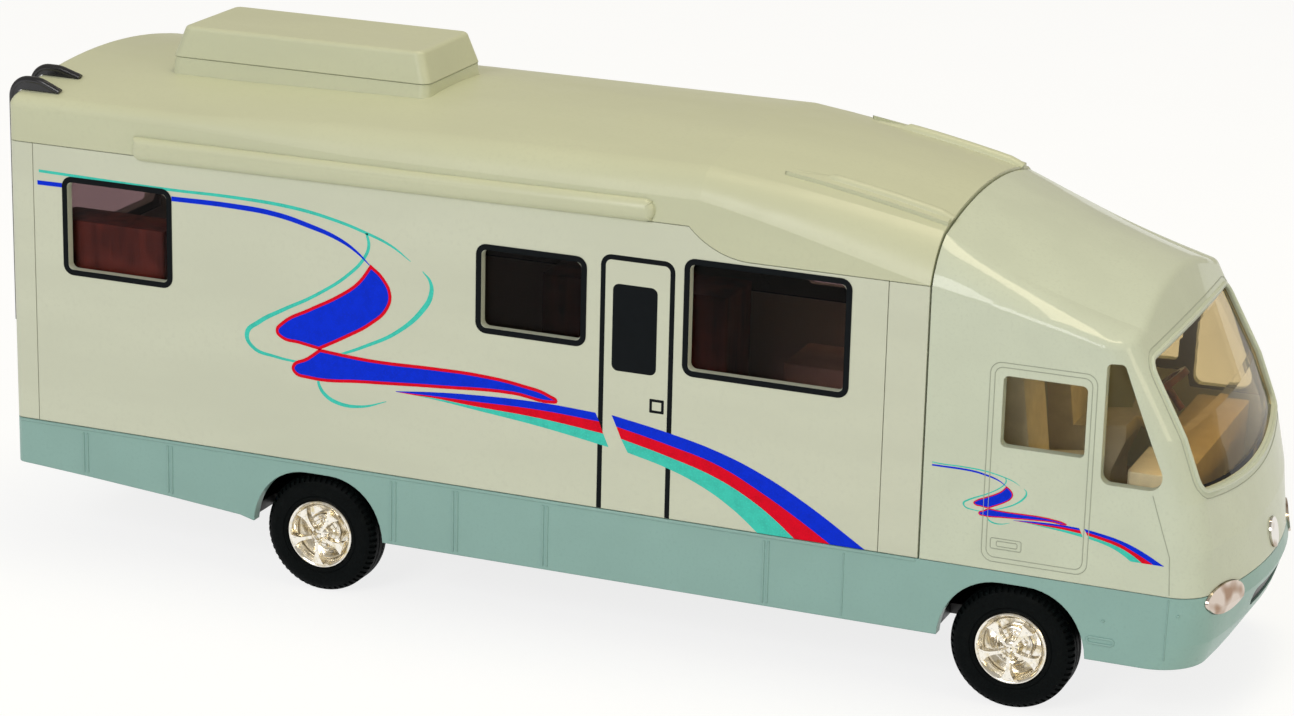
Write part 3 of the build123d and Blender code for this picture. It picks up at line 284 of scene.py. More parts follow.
def plated(name, colour, roughness, wave):
    """Vacuum-plated plastic: bright, with soft waves and faint haze."""
    finish = Finish(name, colour, roughness, metallic=1.0)
    finish.tone(1.1, scaled(colour, (0.82, 0.74, 0.52)), 0.5, 0.72)
    finish.tone(0.5, shade_of(colour, 0.78), 0.56, 0.7)
    finish.sheen_spots(1.0, roughness * 0.3).grain(1.6, wave)


def mirror(name, colour):
    """Plated lamp or badge: a clear mirror, browned in soft patches that paint brown reflections."""
    finish = Finish(name, colour, 0.07, metallic=1.0)
    # soft brown patches: painted reflection in the mirror
    finish.tone(2.4, scaled(colour, (0.55, 0.42, 0.33)), 0.5, 0.72, detail=0.5)
    finish.sheen_spots(1.5, 0.02).grain(2.5, 0.03)


def lathed(name, colour):
    """Drawn steel with fine turning marks across its length."""
    finish = Finish(name, colour, 0.32, metallic=1.0)
    finish.tone(0.9, shade_of(colour, 0.75), 0.4, 0.7, stretch=(1.0, 0.15, 1.0)).sheen_spots(0.8, 0.08)
    finish.soft_edges(0.08).grain(0.25, 0.004)


def rubber(name):
    """Black soft rubber with mould haze and dust in its pores."""
    finish = Finish(name, (0.0026, 0.0042, 0.0047), 0.55)
    finish.shader.inputs["Specular IOR Level"].default_value = 0.06
    finish.tone(1.4, (0.0045, 0.006, 0.006), 0.5, 0.8).tone(0.25, (0.001, 0.001, 0.001), 0.5, 0.7)
    finish.sheen_spots(0.9, 0.09).soft_edges(0.08)
    finish.grain(0.22, 0.012)


def tinted_glass(name, tint, through_share, index):
    """Clear plastic with a tint that lets a share of the light fall through."""
    finish = Finish(name, tint, 0.0)
    finish.shader.inputs["Transmission Weight"].default_value = 1.0
    finish.shader.inputs["IOR"].default_value = index
    finish.tone(12.0, shade_of(tint, 0.93), detail=1.0)
    passed = (*shade_of(tint, through_share), 1.0)
    through = finish.node("ShaderNodeBsdfTransparent", {"Color": passed})
    path = finish.node("ShaderNodeLightPath")
    mixed = finish.node(
        "ShaderNodeMixShader",
        {0: path.outputs["Is Shadow Ray"], 1: finish.shader.outputs[0], 2: through.outputs[0]},
    )
    finish.tree.links.new(mixed.outputs[0], finish.output.inputs["Surface"])


def lamp_lens(name, colour, flute):
    """Lamp moulding with upright flutes across its face."""
    finish = Finish(name, colour, 0.3, coat=0.35)
    finish.shader.inputs["Specular IOR Level"].default_value = 0.2
    finish.tone(1.0, shade_of(colour, 0.7), 0.4, 0.7).sheen_spots(0.9, 0.05)
    turned = finish.node(
        "ShaderNodeMapping", {"Vector": finish.place, "Rotation": (0.0, 0.0, math.pi / 2)}
    )
    waves = finish.node(
        "ShaderNodeTexWave",
        {"Vector": turned.outputs[0], "Scale": 0.32 / (flute * MM), "Distortion": 0.0},
        wave_type="BANDS", bands_direction="X",
    )
    finish.relief(waves.outputs["Fac"], 0.12)


def upholstery(name, colour):
    """Moulded seat plastic with a soft leathery grain."""
    finish = Finish(name, colour, 0.55)
    finish.tone(3.0, shade_of(colour, 0.86)).tone(0.6, shade_of(colour, 0.9), 0.5, 0.8)
    finish.sheen_spots(2.0, 0.06).soft_edges(0.35)
    finish.grain(0.5, 0.03)


def timber(name, colour):
    """Plastic furniture tinted like dark timber, with long streaks."""
    finish = Finish(name, colour, 0.4, coat=0.2, coat_roughness=0.2)
    finish.tone(1.5, shade_of(colour, 0.45), 0.4, 0.65, stretch=(1.0, 1.0, 0.12))
    finish.tone(5.0, shade_of(colour, 1.4), 0.5, 0.75)
    finish.sheen_spots(3.0, 0.06).soft_edges(0.2)
    finish.grain(0.6, 0.01)


def make_finishes(scene):
    """Make every finish, in the colours that the panel holds."""
    body = scene.motorhome_body
    inks = scene.motorhome_inks
    cab = tuple(body.cab)
    enamel("cab_enamel", cab, "gloss")
    enamel("skirt_enamel", tuple(body.skirt), "satin")
    moulding("coach_moulding", tuple(body.coach), 0.006)
    # roof colour holds painted warm top light and shade as well as its own plastic tone
    moulding("roof_moulding", tuple(body.roof), 0.012)
    dark_plastic("base_moulding", tuple(body.base), 0.5)
    dark_plastic("gloss_black", (0.01, 0.01, 0.014), 0.22)
    # cab enamel darkened: painted shade for the hollows of the engraved grooves
    moulding("painted_groove_shade", shade_of(cab, 0.68), 0.003)
    tinted_glass("cab_tint", tuple(body.glass), 1.6, 1.22)
    tinted_glass("screen_tint", tuple(body.screen), 1.6, 1.2)
    tinted_glass("coach_tint", tuple(body.coach_glass), 2.2, 1.15)
    mirror("bright_plating", (0.74, 0.71, 0.66))
    plated("rim_plating", (0.94, 0.90, 0.82), 0.17, 0.003)
    mirror("lamp_clear", (0.66, 0.57, 0.50))
    lamp_lens("ruby_lens", (0.46, 0.004, 0.006), 0.6)
    lathed("drawn_steel", (0.52, 0.51, 0.50))
    rubber("soft_rubber")
    upholstery("seat_cream", (0.78, 0.73, 0.58))
    upholstery("floor_tan", (0.42, 0.33, 0.22))
    timber("cabinet_brown", (0.26, 0.075, 0.045))
    ink("ink_blue", tuple(inks.blue))
    ink("ink_red", tuple(inks.red))
    ink("ink_teal", tuple(inks.teal))
    ink("ink_black", tuple(inks.black))


CARRIED_OVER = {
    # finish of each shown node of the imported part
    "cab_enamel": ["cab_shell"],
    "skirt_enamel": ["lower_skirt"],
    "coach_moulding": ["coach_frame", "side_panel_right", "side_panel_left"],
    "roof_moulding": ["roof_shell", "air_conditioner"],
    "base_moulding": ["chassis_base", "grille"],
    "gloss_black": ["ladder"],
    "drawn_steel": ["base_screws", "front_axle", "rear_axle"],
    "cab_tint": ["cab_side_glass_right", "cab_side_glass_left"],
    "screen_tint": ["windshield_glass"],
    "coach_tint": ["side_glass_right", "side_glass_left", "rear_glass"],
    "bright_plating": ["front_badge"],
    "lamp_clear": ["headlamp_right", "headlamp_left"],
    "ruby_lens": ["tail_lamp_right", "tail_lamp_left"],
    "seat_cream": ["driver_seat", "passenger_seat", "dashboard", "sofa", "bed"],
    "floor_tan": ["interior_floor"],
    "cabinet_brown": [
        "steering_wheel", "dinette_table", "kitchen_counter", "wardrobe", "bedroom_cabinet",
    ],
    "rim_plating": ["front_rim_right", "front_rim_left", "rear_rim_right", "rear_rim_left"],
    "soft_rubber": ["front_tyre_right", "front_tyre_left", "rear_tyre_right", "rear_tyre_left"],
}


# ---------------------------------------------------------------- modelling helpers
def only(piece):
    """Make a piece the one that is selected and active."""
    bpy.ops.object.select_all(action="DESELECT")
    piece.select_set(True)
    bpy.context.view_layer.objects.active = piece


def settle(piece, name, finish, body="body"):
    """Bring a piece from millimetres to metres at the origin, name it and let it ride."""
    only(piece)
    piece.name = name
    piece.data.name = name
    piece.matrix_world = Matrix.Scale(MM, 4) @ piece.matrix_world
    bpy.ops.object.transform_apply(location=True, rotation=True, scale=True)
    piece.data.materials.clear()
    piece.data.materials.append(bpy.data.materials[finish])
    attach(piece, body)
    return piece


def merged(parts):
    """Join several pieces into one."""
    only(parts[0])
    for part in parts:
        part.select_set(True)
    bpy.ops.object.join()
    return parts[0]


def smooth(piece, degrees=35.0):
    """Smooth shading up to an angle."""
    only(piece)
    bpy.ops.object.shade_smooth_by_angle(angle=math.radians(degrees))


def flat_shape(outlines, thickness=INK, grow=0.0, rounded=True):
    """Thin slab in the X-Z plane from closed outlines of (x, z, sharp); a second outline is a hole."""
    curve = bpy.data.curves.new("outline", "CURVE")
    curve.dimensions = "2D"
    curve.fill_mode = "BOTH"
    curve.resolution_u = 6
    curve.extrude = thickness / 2
    curve.offset = grow
    for outline in outlines:
        if rounded:
            spline = curve.splines.new("BEZIER")
            spline.bezier_points.add(len(outline) - 1)
            for point, (x, z, sharp) in zip(spline.bezier_points, outline):
                point.co = (x, z, 0.0)
                kind = "VECTOR" if sharp else "AUTO"
                point.handle_left_type = kind
                point.handle_right_type = kind
        else:
            spline = curve.splines.new("POLY")
            spline.points.add(len(outline) - 1)
            for point, (x, z) in zip(spline.points, outline):
                point.co = (x, z, 0.0, 1.0)
        spline.use_cyclic_u = True
    shape = bpy.data.objects.new("outline", curve)
    bpy.context.scene.collection.objects.link(shape)
    only(shape)
    bpy.ops.object.convert(target="MESH")
    shape = bpy.context.view_layer.objects.active
    shape.matrix_world = Matrix.Rotation(math.pi / 2, 4, "X")
    bpy.ops.object.transform_apply(location=True, rotation=True, scale=True)
    return shape


def on_side(shape, side, proud):
    """Move a flat shape out to a side wall."""
    shape.location = (AXLE_X, side * (SIDE_Y + proud), 0.0)
    only(shape)
    bpy.ops.object.transform_apply(location=True, rotation=True, scale=True)
    return shape


def ribbon(rows):
    """Outline of a band along a line; rows are x, z and the band's width there."""
    left = []
    right = []
    last = len(rows) - 1
    for index, (x, z, width) in enumerate(rows):
        before = rows[max(index - 1, 0)]
        after = rows[min(index + 1, last)]
        run_x = after[0] - before[0]
        run_z = after[1] - before[1]
        run = math.hypot(run_x, run_z)
        across_x = -run_z / run * width / 2
        across_z = run_x / run * width / 2
        sharp = index in (0, last)
        left.append((x + across_x, z + across_z, sharp))
        right.append((x - across_x, z - across_z, sharp))
    return left + right[::-1]


def band(upper, lower):
    """Outline between two lines of (x, z)."""
    def marked(line):
        return [(x, z, index in (0, len(line) - 1)) for index, (x, z) in enumerate(line)]
    return marked(upper) + marked(lower)[::-1]


def rounded_box(x0, z0, x1, z1, radius):
    """Points round a rectangle with round corners, from the upper right corner on."""
    points = []
    corners = ((x1 - radius, z1 - radius, 0), (x0 + radius, z1 - radius, 1),
               (x0 + radius, z0 + radius, 2), (x1 - radius, z0 + radius, 3))
    for x, z, quarter in corners:
        for step in range(CORNER_STEPS + 1):
            angle = (quarter + step / CORNER_STEPS) * math.pi / 2
            points.append((x + radius * math.cos(angle), z + radius * math.sin(angle)))
    return points


def ring(x0, z0, x1, z1, radius, width):
    """Outer and inner outline of a frame of constant width."""
    inner = max(radius - width, 0.05)
    return [
        rounded_box(x0, z0, x1, z1, radius),
        rounded_box(x0 + width, z0 + width, x1 - width, z1 - width, inner),
    ]


def tube(points, radius, closed, sides=2):
    """Round bead through points in millimetres."""
    curve = bpy.data.curves.new("bead", "CURVE")
    curve.dimensions = "3D"
    curve.bevel_depth = radius
    curve.bevel_resolution = sides
    curve.use_fill_caps = not closed
    spline = curve.splines.new("POLY")
    spline.points.add(len(points) - 1)
    for point, place in zip(spline.points, points):
        point.co = (*place, 1.0)
    spline.use_cyclic_u = closed
    bead = bpy.data.objects.new("bead", curve)
    bpy.context.scene.collection.objects.link(bead)
    only(bead)
    bpy.ops.object.convert(target="MESH")
    return bpy.context.view_layer.objects.active


def dropped(node, start, direction):
    """Where a ray in millimetres meets a node of the part, or None."""
    hit, place, _, _ = frame["nodes"][node].ray_cast(Vector(start) * MM, Vector(direction))
    return place / MM if hit else None


def side_line(node, points, side):
    """Points (x, z) laid on the side of a node."""
    laid = []
    for x, z in points:
        place = dropped(node, (AXLE_X + x, side * (SIDE_Y + RAY_START), z), (0.0, -side, 0.0))
        if place is None:
            raise RuntimeError(f"{node} has no side at {x:.1f}, {z:.1f}")
        laid.append(place)
    return laid


def divided(points, step, closed=False):
    """Points along a run of straight lines, no further apart than the step."""
    ends = points[1:] + points[:1] if closed else points[1:]
    made = []
    for first, second in zip(points, ends):
        count = max(1, math.ceil(math.dist(first, second) / step))
        for index in range(count):
            share = index / count
            made.append(tuple(a + (b - a) * share for a, b in zip(first, second)))
    if not closed:
        made.append(points[-1])
    return made


# ---------------------------------------------------------------- printed graphics
BLUE_START = [
    # x from the front axle, z, width
    (-160.8, 60.4, 0.7), (-156.4, 60.45, 0.7),
]
BLUE_LINE = [
    (-137.0, 60.6, 0.75), (-126.5, 60.7, 0.8), (-119.0, 60.3, 0.8),
    (-113.4, 59.2, 0.75), (-108.3, 57.7, 0.6), (-105.3, 56.1, 0.4), (-103.0, 54.2, 0.12),
]
TEAL_LINE = [
    (-160.5, 62.3, 0.45), (-137.1, 62.0, 0.45), (-126.4, 62.1, 0.5), (-116.2, 61.7, 0.55),
    (-109.5, 60.7, 0.5), (-103.9, 59.3, 0.45), (-99.4, 57.7, 0.35), (-96.2, 55.7, 0.1),
]
TEAL_BRANCH = [
    (-103.6, 59.2, 0.4), (-103.2, 57.3, 0.5), (-103.9, 55.4, 0.5), (-106.1, 52.8, 0.5),
    (-112.3, 48.3, 0.5), (-118.0, 45.2, 0.6), (-122.0, 42.8, 0.7), (-124.1, 40.7, 0.75),
    (-123.2, 38.7, 0.6), (-119.2, 37.6, 0.45), (-114.0, 37.2, 0.3),
]
TEAL_ARC = [
    (-94.2, 54.4, 0.12), (-92.9, 52.9, 0.5), (-92.8, 50.9, 0.75), (-93.9, 48.7, 0.8),
    (-98.3, 44.4, 0.6), (-103.9, 41.3, 0.5), (-108.6, 39.2, 0.35),
]
TEAL_TAIL = [
    (-111.9, 35.2, 0.35), (-111.6, 33.9, 0.5), (-110.6, 32.6, 0.6), (-108.4, 31.6, 0.6),
    (-104.4, 31.6, 0.4), (-100.2, 33.0, 0.1),
]
UPPER_LEAF = [
    # x, z, sharp corner
    (-102.9, 54.4, True), (-100.7, 52.6, False), (-99.4, 50.0, False), (-100.0, 47.6, False),
    (-102.7, 44.9, False), (-107.0, 42.2, False), (-111.6, 39.7, True), (-115.0, 40.2, False),
    (-118.2, 40.7, False), (-119.1, 41.8, False), (-118.0, 43.4, False), (-113.4, 46.1, False),
    (-108.4, 48.9, False), (-105.2, 51.3, False),
]
LOWER_LEAF = [
    (-111.6, 39.9, True), (-113.8, 38.2, False), (-116.3, 36.6, False), (-116.0, 35.4, False),
    (-113.6, 34.8, False), (-103.9, 35.4, False), (-91.2, 36.4, False), (-79.0, 37.1, False),
    (-72.8, 36.6, False), (-71.8, 37.0, False), (-73.2, 38.0, False), (-77.2, 38.9, False),
    (-84.9, 39.6, False), (-92.0, 39.6, False), (-103.0, 39.4, False),
]
BAND_LINES = {
    # lines between the bands, from the start to the slanted gap and from there on
    "left": [
        [(-98.6, 34.9), (-92.5, 35.6), (-86.2, 36.1), (-74.5, 36.5), (-65.6, 36.2)],
        [(-98.6, 34.8), (-92.5, 35.0), (-86.2, 35.1), (-74.5, 35.3), (-65.0, 34.9)],
        [(-95.4, 34.7), (-92.0, 34.7), (-86.2, 34.4), (-74.5, 34.0), (-64.3, 33.1)],
        [(-92.6, 34.5), (-90.0, 34.3), (-86.2, 33.9), (-74.5, 32.7), (-63.4, 31.1)],
    ],
    "right": [
        [(-63.0, 36.2), (-53.8, 34.7), (-45.8, 32.9), (-38.8, 30.4), (-31.8, 26.9), (-22.6, 21.3)],
        [(-62.2, 34.5), (-53.7, 32.8), (-45.8, 30.8), (-38.7, 27.5), (-33.1, 24.4), (-28.0, 21.3)],
        [(-61.4, 32.7), (-53.7, 31.0), (-45.7, 28.7), (-39.6, 25.7), (-36.6, 23.7), (-33.6, 21.3)],
        [(-60.3, 30.7), (-53.6, 29.1), (-48.0, 27.0), (-43.7, 24.6), (-41.6, 23.1), (-39.4, 21.3)],
    ],
}
BAND_INKS = ("ink_blue", "ink_red", "ink_teal")
CAB_COPY = {
    # the same graphic on the cab, smaller: a point of the coach's graphic, where it falls on
    # the cab, the scales of x and z, where the long lines start, and the share of their width
    "from": (-103.1, 54.1), "to": (-1.8, 34.2), "scale": (0.295, 0.255),
    "line_start": -141.0, "width": 0.34,
}
CORNER_CUTS = {"first": 17.5, "step": 0.45, "count": 12}     # where the cab's side starts to turn


def moved(points, copy):
    """A table's points at the cab's size and place."""
    x0, z0 = copy["from"]
    x1, z1 = copy["to"]
    kx, kz = copy["scale"]
    return [(x1 + (row[0] - x0) * kx, z1 + (row[1] - z0) * kz, *row[2:]) for row in points]


def cut_start(rows, start):
    """A line's rows from a given x on."""
    kept = [row for row in rows if row[0] > start]
    return [(start, rows[0][1], rows[0][2]), *kept]


def graphic_shapes(inks, copy=None):
    """Shapes of the whole graphic as (name, ink, layer, outlines, grow)."""
    shapes = []
    lines = [
        ("teal_line", "ink_teal", 1, TEAL_LINE), ("blue_line", "ink_blue", 2, BLUE_LINE),
        ("teal_branch", "ink_teal", 1, TEAL_BRANCH), ("teal_arc", "ink_teal", 1, TEAL_ARC),
        ("teal_tail", "ink_teal", 1, TEAL_TAIL),
    ]
    if not copy:
        lines.append(("blue_start", "ink_blue", 2, BLUE_START))
    for name, colour, layer, rows in lines:
        if copy:
            if name in ("teal_line", "blue_line"):
                rows = cut_start(rows, copy["line_start"])
            rows = [(x, z, width * copy["width"]) for x, z, width in moved(rows, copy)]
        shapes.append((name, colour, layer, [ribbon(rows)], 0.0))
    edge = inks.outline / MM * (copy["width"] if copy else 1.0)
    for name, outline in (("lower_leaf", LOWER_LEAF), ("upper_leaf", UPPER_LEAF)):
        if copy:
            outline = moved(outline, copy)
        shapes.append((name + "_edge", "ink_red", 3, [outline], 0.0))
        shapes.append((name, "ink_blue", 4, [outline], -edge))
    for part, bounds in BAND_LINES.items():
        if copy:
            bounds = [moved(line, copy) for line in bounds]
        for colour, upper, lower in zip(BAND_INKS, bounds, bounds[1:]):
            shapes.append((f"{colour[4:]}_band_{part}", colour, 2, [band(upper, lower)], 0.0))
    return shapes


class MOTORHOME_OT_finishes(bpy.types.Operator):
    """Make every finish and give each shown node of the part its own"""
    bl_idname = "motorhome.finishes"
    bl_label = "Finishes"

    def execute(self, context):
        make_finishes(context.scene)
        for finish, nodes in CARRIED_OVER.items():
            for node in nodes:
                piece = frame["nodes"][node]
                for index in range(len(piece.material_slots)):
                    piece.material_slots[index].material = bpy.data.materials[finish]
        return {"FINISHED"}


class MOTORHOME_OT_coach_graphics(bpy.types.Operator):
    """Print the swooshes and leaves on both coach walls"""
    bl_idname = "motorhome.coach_graphics"
    bl_label = "Coach graphics"

    def execute(self, context):
        for side_name, side in SIDES.items():
            for name, colour, layer, outlines, grow in graphic_shapes(context.scene.motorhome_inks):
                shape = on_side(flat_shape(outlines, grow=grow), side, layer * INK)
                settle(shape, f"coach_{name}_{side_name}", colour)
        return {"FINISHED"}


class MOTORHOME_OT_cab_graphics(bpy.types.Operator):
    """Print the small copy of the graphic on both sides of the cab, laid round its corner"""
    bl_idname = "motorhome.cab_graphics"
    bl_label = "Cab graphics"

    def execute(self, context):
        for side_name, side in SIDES.items():
            shapes = graphic_shapes(context.scene.motorhome_inks, CAB_COPY)
            for name, colour, layer, outlines, grow in shapes:
                shape = on_side(flat_shape(outlines, grow=grow), side, layer * INK)
                if name.endswith("band_right"):
                    self.lay_round_corner(shape, side)
                settle(shape, f"cab_{name}_{side_name}", colour)
        return {"FINISHED"}

    def lay_round_corner(self, shape, side):
        """Cut the shape across and set each point back by the corner's fall."""
        only(shape)
        bpy.ops.object.mode_set(mode="EDIT")
        for index in range(CORNER_CUTS["count"]):
            cut_x = AXLE_X + CORNER_CUTS["first"] + CORNER_CUTS["step"] * index
            bpy.ops.mesh.select_all(action="SELECT")
            bpy.ops.mesh.bisect(plane_co=(cut_x, 0.0, 0.0), plane_no=(1.0, 0.0, 0.0))
        bpy.ops.object.mode_set(mode="OBJECT")
        for vertex in shape.data.vertices:
            start = (vertex.co.x, side * (SIDE_Y + RAY_START), vertex.co.z)
            place = dropped("cab_shell", start, (0.0, -side, 0.0))
            if place is not None:
                vertex.co.y += place.y - side * SIDE_Y


SIDE_WINDOWS = {
    # outer edge of the frame: x from the front axle, z, twice
    "bedroom": (-156.4, 46.1, -137.0, 62.0),
    "kitchen": (-85.4, 46.1, -67.4, 60.0),
    "lounge": (-52.0, 43.9, -26.1, 61.9),
}
REAR_WINDOW = (-16.0, 46.6, 16.0, 61.4)     # y and z, twice
REAR_BAND = 0.95
WINDOW_CORNER = 1.7
FRAME_LAYER = 5            # the frames lie over all the graphics


class MOTORHOME_OT_window_frames(bpy.types.Operator):
    """Print the black frames round the coach windows"""
    bl_idname = "motorhome.window_frames"
    bl_label = "Window frames"

    def execute(self, context):
        width = context.scene.motorhome_inks.window_band / MM
        for side_name, side in SIDES.items():
            for name, edges in SIDE_WINDOWS.items():
                outlines = ring(*edges, WINDOW_CORNER, width)
                shape = on_side(flat_shape(outlines, rounded=False), side, FRAME_LAYER * INK)
                settle(shape, f"{name}_window_frame_{side_name}", "ink_black")
        shape = flat_shape(ring(*REAR_WINDOW, WINDOW_CORNER, REAR_BAND), rounded=False)
        turn = Matrix.Rotation(math.pi / 2, 4, "Z")
        shape.matrix_world = Matrix.Translation((REAR_X - INK, 0.0, 0.0)) @ turn
        settle(shape, "rear_window_frame", "ink_black")
        return {"FINISHED"}


DOOR = {
    # printed entry door; x is from the front axle
    "outline": {"rear": -65.2, "front": -53.4, "top": 60.95, "corner": 1.7, "width": 0.78},
    "window": (-63.2, 43.2, -56.1, 56.6, 1.0),            # x and z, twice, corner
    "handle": (-57.0, 37.45, -54.7, 39.6, 0.12, 0.42),    # the same, and the line's width
    "foot": 0.12,                                         # the outline stops short of the skirt
}


class MOTORHOME_OT_entry_door(bpy.types.Operator):
    """Print the entry door with its window and handle on the right side"""
    bl_idname = "motorhome.entry_door"
    bl_label = "Entry door"

    def execute(self, context):
        pieces = {
            "entry_door_outline": [self.arch(**DOOR["outline"])],
            "entry_door_window": [rounded_box(*DOOR["window"])],
            "entry_door_handle": ring(*DOOR["handle"]),
        }
        for name, outlines in pieces.items():
            shape = on_side(flat_shape(outlines, rounded=False), SIDES["right"], INK)
            settle(shape, name, "ink_black")
        return {"FINISHED"}

    def arch(self, rear, front, top, corner, width):
        """Outline of the door's line, open at the foot."""
        upper_corners = 2 * (CORNER_STEPS + 1)
        low = SKIRT_TOP_Z - corner
        outer = rounded_box(rear, low, front, top, corner)[:upper_corners]
        inner = rounded_box(rear + width, low, front - width, top - width, corner - width)[:upper_corners]
        foot = SKIRT_TOP_Z + DOOR["foot"]
        return [
            (front, foot), *outer, (rear, foot),
            (rear + width, foot), *inner[::-1], (front - width, foot),
        ]


RIBS = [
    # x from the front axle of each pair of raised ribs
    -153.2, -138.0, -99.0, -88.5, -73.5, -37.9,
]
RIB_PAIR = {"width": 0.34, "proud": 0.16, "edge": 0.11}
RIB_SPACING = 0.72
LONE_RIB_X = -25.8
LONE_RIB = {"width": 0.25, "proud": 0.1, "edge": 0.07}
RIB_BOTTOM_Z = 10.3
RIB_TOP_Z = 20.3
RIB_FOOT = {"above": 0.5, "step": 0.1, "shortest": 1.0}     # clear of the skirt's lower edge
LEDGE = {"height": 0.5, "proud": 0.2, "edge": 0.14, "from_rear": 0.9, "front": -14.8}


def raised_bar(size, place, edge):
    """Bar with bevelled edges, sunk half into the wall."""
    bpy.ops.object.select_all(action="DESELECT")
    bpy.ops.mesh.primitive_cube_add(size=1.0, location=place)
    bar = bpy.context.view_layer.objects.active
    bar.scale = size
    bpy.ops.object.transform_apply(location=True, rotation=True, scale=True)
    bpy.ops.object.mode_set(mode="EDIT")
    bpy.ops.mesh.select_all(action="SELECT")
    bpy.ops.mesh.bevel(offset=edge, segments=2, affect="EDGES")
    bpy.ops.object.mode_set(mode="OBJECT")
    return bar


class MOTORHOME_OT_skirt_ribs(bpy.types.Operator):
    """Raise the paired upright ribs and the ledge along the top of the skirts"""
    bl_idname = "motorhome.skirt_ribs"
    bl_label = "Skirt ribs"

    def execute(self, context):
        for side_name, side in SIDES.items():
            bars = []
            for x in RIBS:
                for half in (-0.5, 0.5):
                    bars.append(self.upright(x + half * RIB_SPACING, side, **RIB_PAIR))
            bars.append(self.upright(LONE_RIB_X, side, **LONE_RIB))
            bars.append(self.ledge(side))
            piece = merged(bars)
            smooth(piece, 50.0)
            settle(piece, f"skirt_ribs_{side_name}", "skirt_enamel")
        return {"FINISHED"}

    def upright(self, x, side, width, proud, edge):
        """Upright rib from just above the skirt's lower edge to its ledge."""
        bottom = RIB_BOTTOM_Z
        while not self.skirt_behind(x, bottom - RIB_FOOT["above"], side):
            bottom += RIB_FOOT["step"]
            if bottom > RIB_TOP_Z - RIB_FOOT["shortest"]:
                raise RuntimeError("no skirt behind a rib")
        place = (AXLE_X + x, side * SIDE_Y, (RIB_TOP_Z + bottom) / 2)
        return raised_bar((width, 2 * proud, RIB_TOP_Z - bottom), place, edge)

    def skirt_behind(self, x, z, side):
        """Whether the skirt's wall reaches a point."""
        start = (AXLE_X + x, side * (SIDE_Y + RAY_START), z)
        return dropped("lower_skirt", start, (0.0, -side, 0.0)) is not None

    def ledge(self, side):
        """Bar along the skirt's upper edge, from the rear wall to the cab."""
        rear = REAR_X - AXLE_X + LEDGE["from_rear"]
        front = LEDGE["front"]
        place = (AXLE_X + (rear + front) / 2, side * SIDE_Y, SKIRT_TOP_Z - LEDGE["height"] / 2)
        return raised_bar((front - rear, 2 * LEDGE["proud"], LEDGE["height"]), place, LEDGE["edge"])


CAB_GROOVES = {
    # closed outlines: x from the front axle, z, twice, corner
    "door_outer": (-5.0, 22.6, 10.7, 52.6, 1.7),
    "door_inner": (-4.3, 23.3, 10.0, 51.9, 1.2),
    "handle_outer": (-3.7, 24.6, 0.9, 26.2, 0.3),
    "handle_inner": (-2.8, 25.0, 0.3, 25.8, 0.25),
}
FRONT_CUT = [(19.6, 36.1), (21.3, 31.0), (22.6, 27.2), (22.9, 21.6)]
SKIRT_SLOT = (11.4, 12.6, 15.3, 13.5, 0.42)
SKIRT_CREASE = [(22.9, 20.9), (22.7, 11.6)]
RIVETS = [(13.6, 16.2), (24.4, 18.6)]
# the engraved lines are beads of this radius, coloured as painted shade inside the grooves
GROOVE_RADIUS = 0.07
SLOT_RADIUS = 0.2
CREASE_RADIUS = 0.12
RIVET_RADIUS = 0.24
GROOVE_STEP = 2.0          # between points laid on the side, on an outline
LINE_STEP = 1.0            # and on an open line


class MOTORHOME_OT_cab_grooves(bpy.types.Operator):
    """Draw the engraved cab door, its handle and the cut ahead of it as thin beads in painted groove shade,
    and the skirt's slot
    """
    bl_idname = "motorhome.cab_grooves"
    bl_label = "Cab grooves"

    def execute(self, context):
        for side_name, side in SIDES.items():
            lines = []
            for edges in CAB_GROOVES.values():
                points = divided(rounded_box(*edges), GROOVE_STEP, True)
                lines.append(tube(side_line("cab_shell", points, side), GROOVE_RADIUS, True))
            cut = side_line("cab_shell", divided(FRONT_CUT, LINE_STEP), side)
            lines.append(tube(cut, GROOVE_RADIUS, False))
            piece = merged(lines)
            smooth(piece, 80.0)
            # the engraved lines are dark beads: painted shade standing in for the grooves' depth
            settle(piece, f"cab_grooves_{side_name}", "painted_groove_shade")
            slot = side_line("lower_skirt", rounded_box(*SKIRT_SLOT), side)
            crease = side_line("lower_skirt", divided(SKIRT_CREASE, LINE_STEP), side)
            marks = [tube(slot, SLOT_RADIUS, True), tube(crease, CREASE_RADIUS, False)]
            for place in side_line("lower_skirt", RIVETS, side):
                bpy.ops.object.select_all(action="DESELECT")
                bpy.ops.mesh.primitive_uv_sphere_add(segments=16, ring_count=10, radius=RIVET_RADIUS)
                marks.append(bpy.context.view_layer.objects.active)
                marks[-1].location = place
            piece = merged(marks)
            smooth(piece, 80.0)
            settle(piece, f"skirt_slot_{side_name}", "skirt_enamel")
        return {"FINISHED"}


AWNING_ROLL = {
    # round case of the rolled awning; its rear end hangs a little lower
    "rear": -143.7, "front": -56.8, "rear_z": 67.75, "front_z": 68.35, "radius": 1.72, "proud": 1.42,
}
RIDGE_BEAD = {
    # rounded bead on each front ridge, sunk into it; its front end falls off more steeply
    "rear": -39.5, "front": -14.7, "y": 17.6, "radius": 1.2, "sunk": 0.74, "rise": 5.0, "steeper": 3.0,
}
BEAD_STEP = 1.0
ABOVE_ROOF_Z = 95.0        # where a ray down on the roof starts
MIDDLE = 0.001             # points this near to the middle of the roll stay there


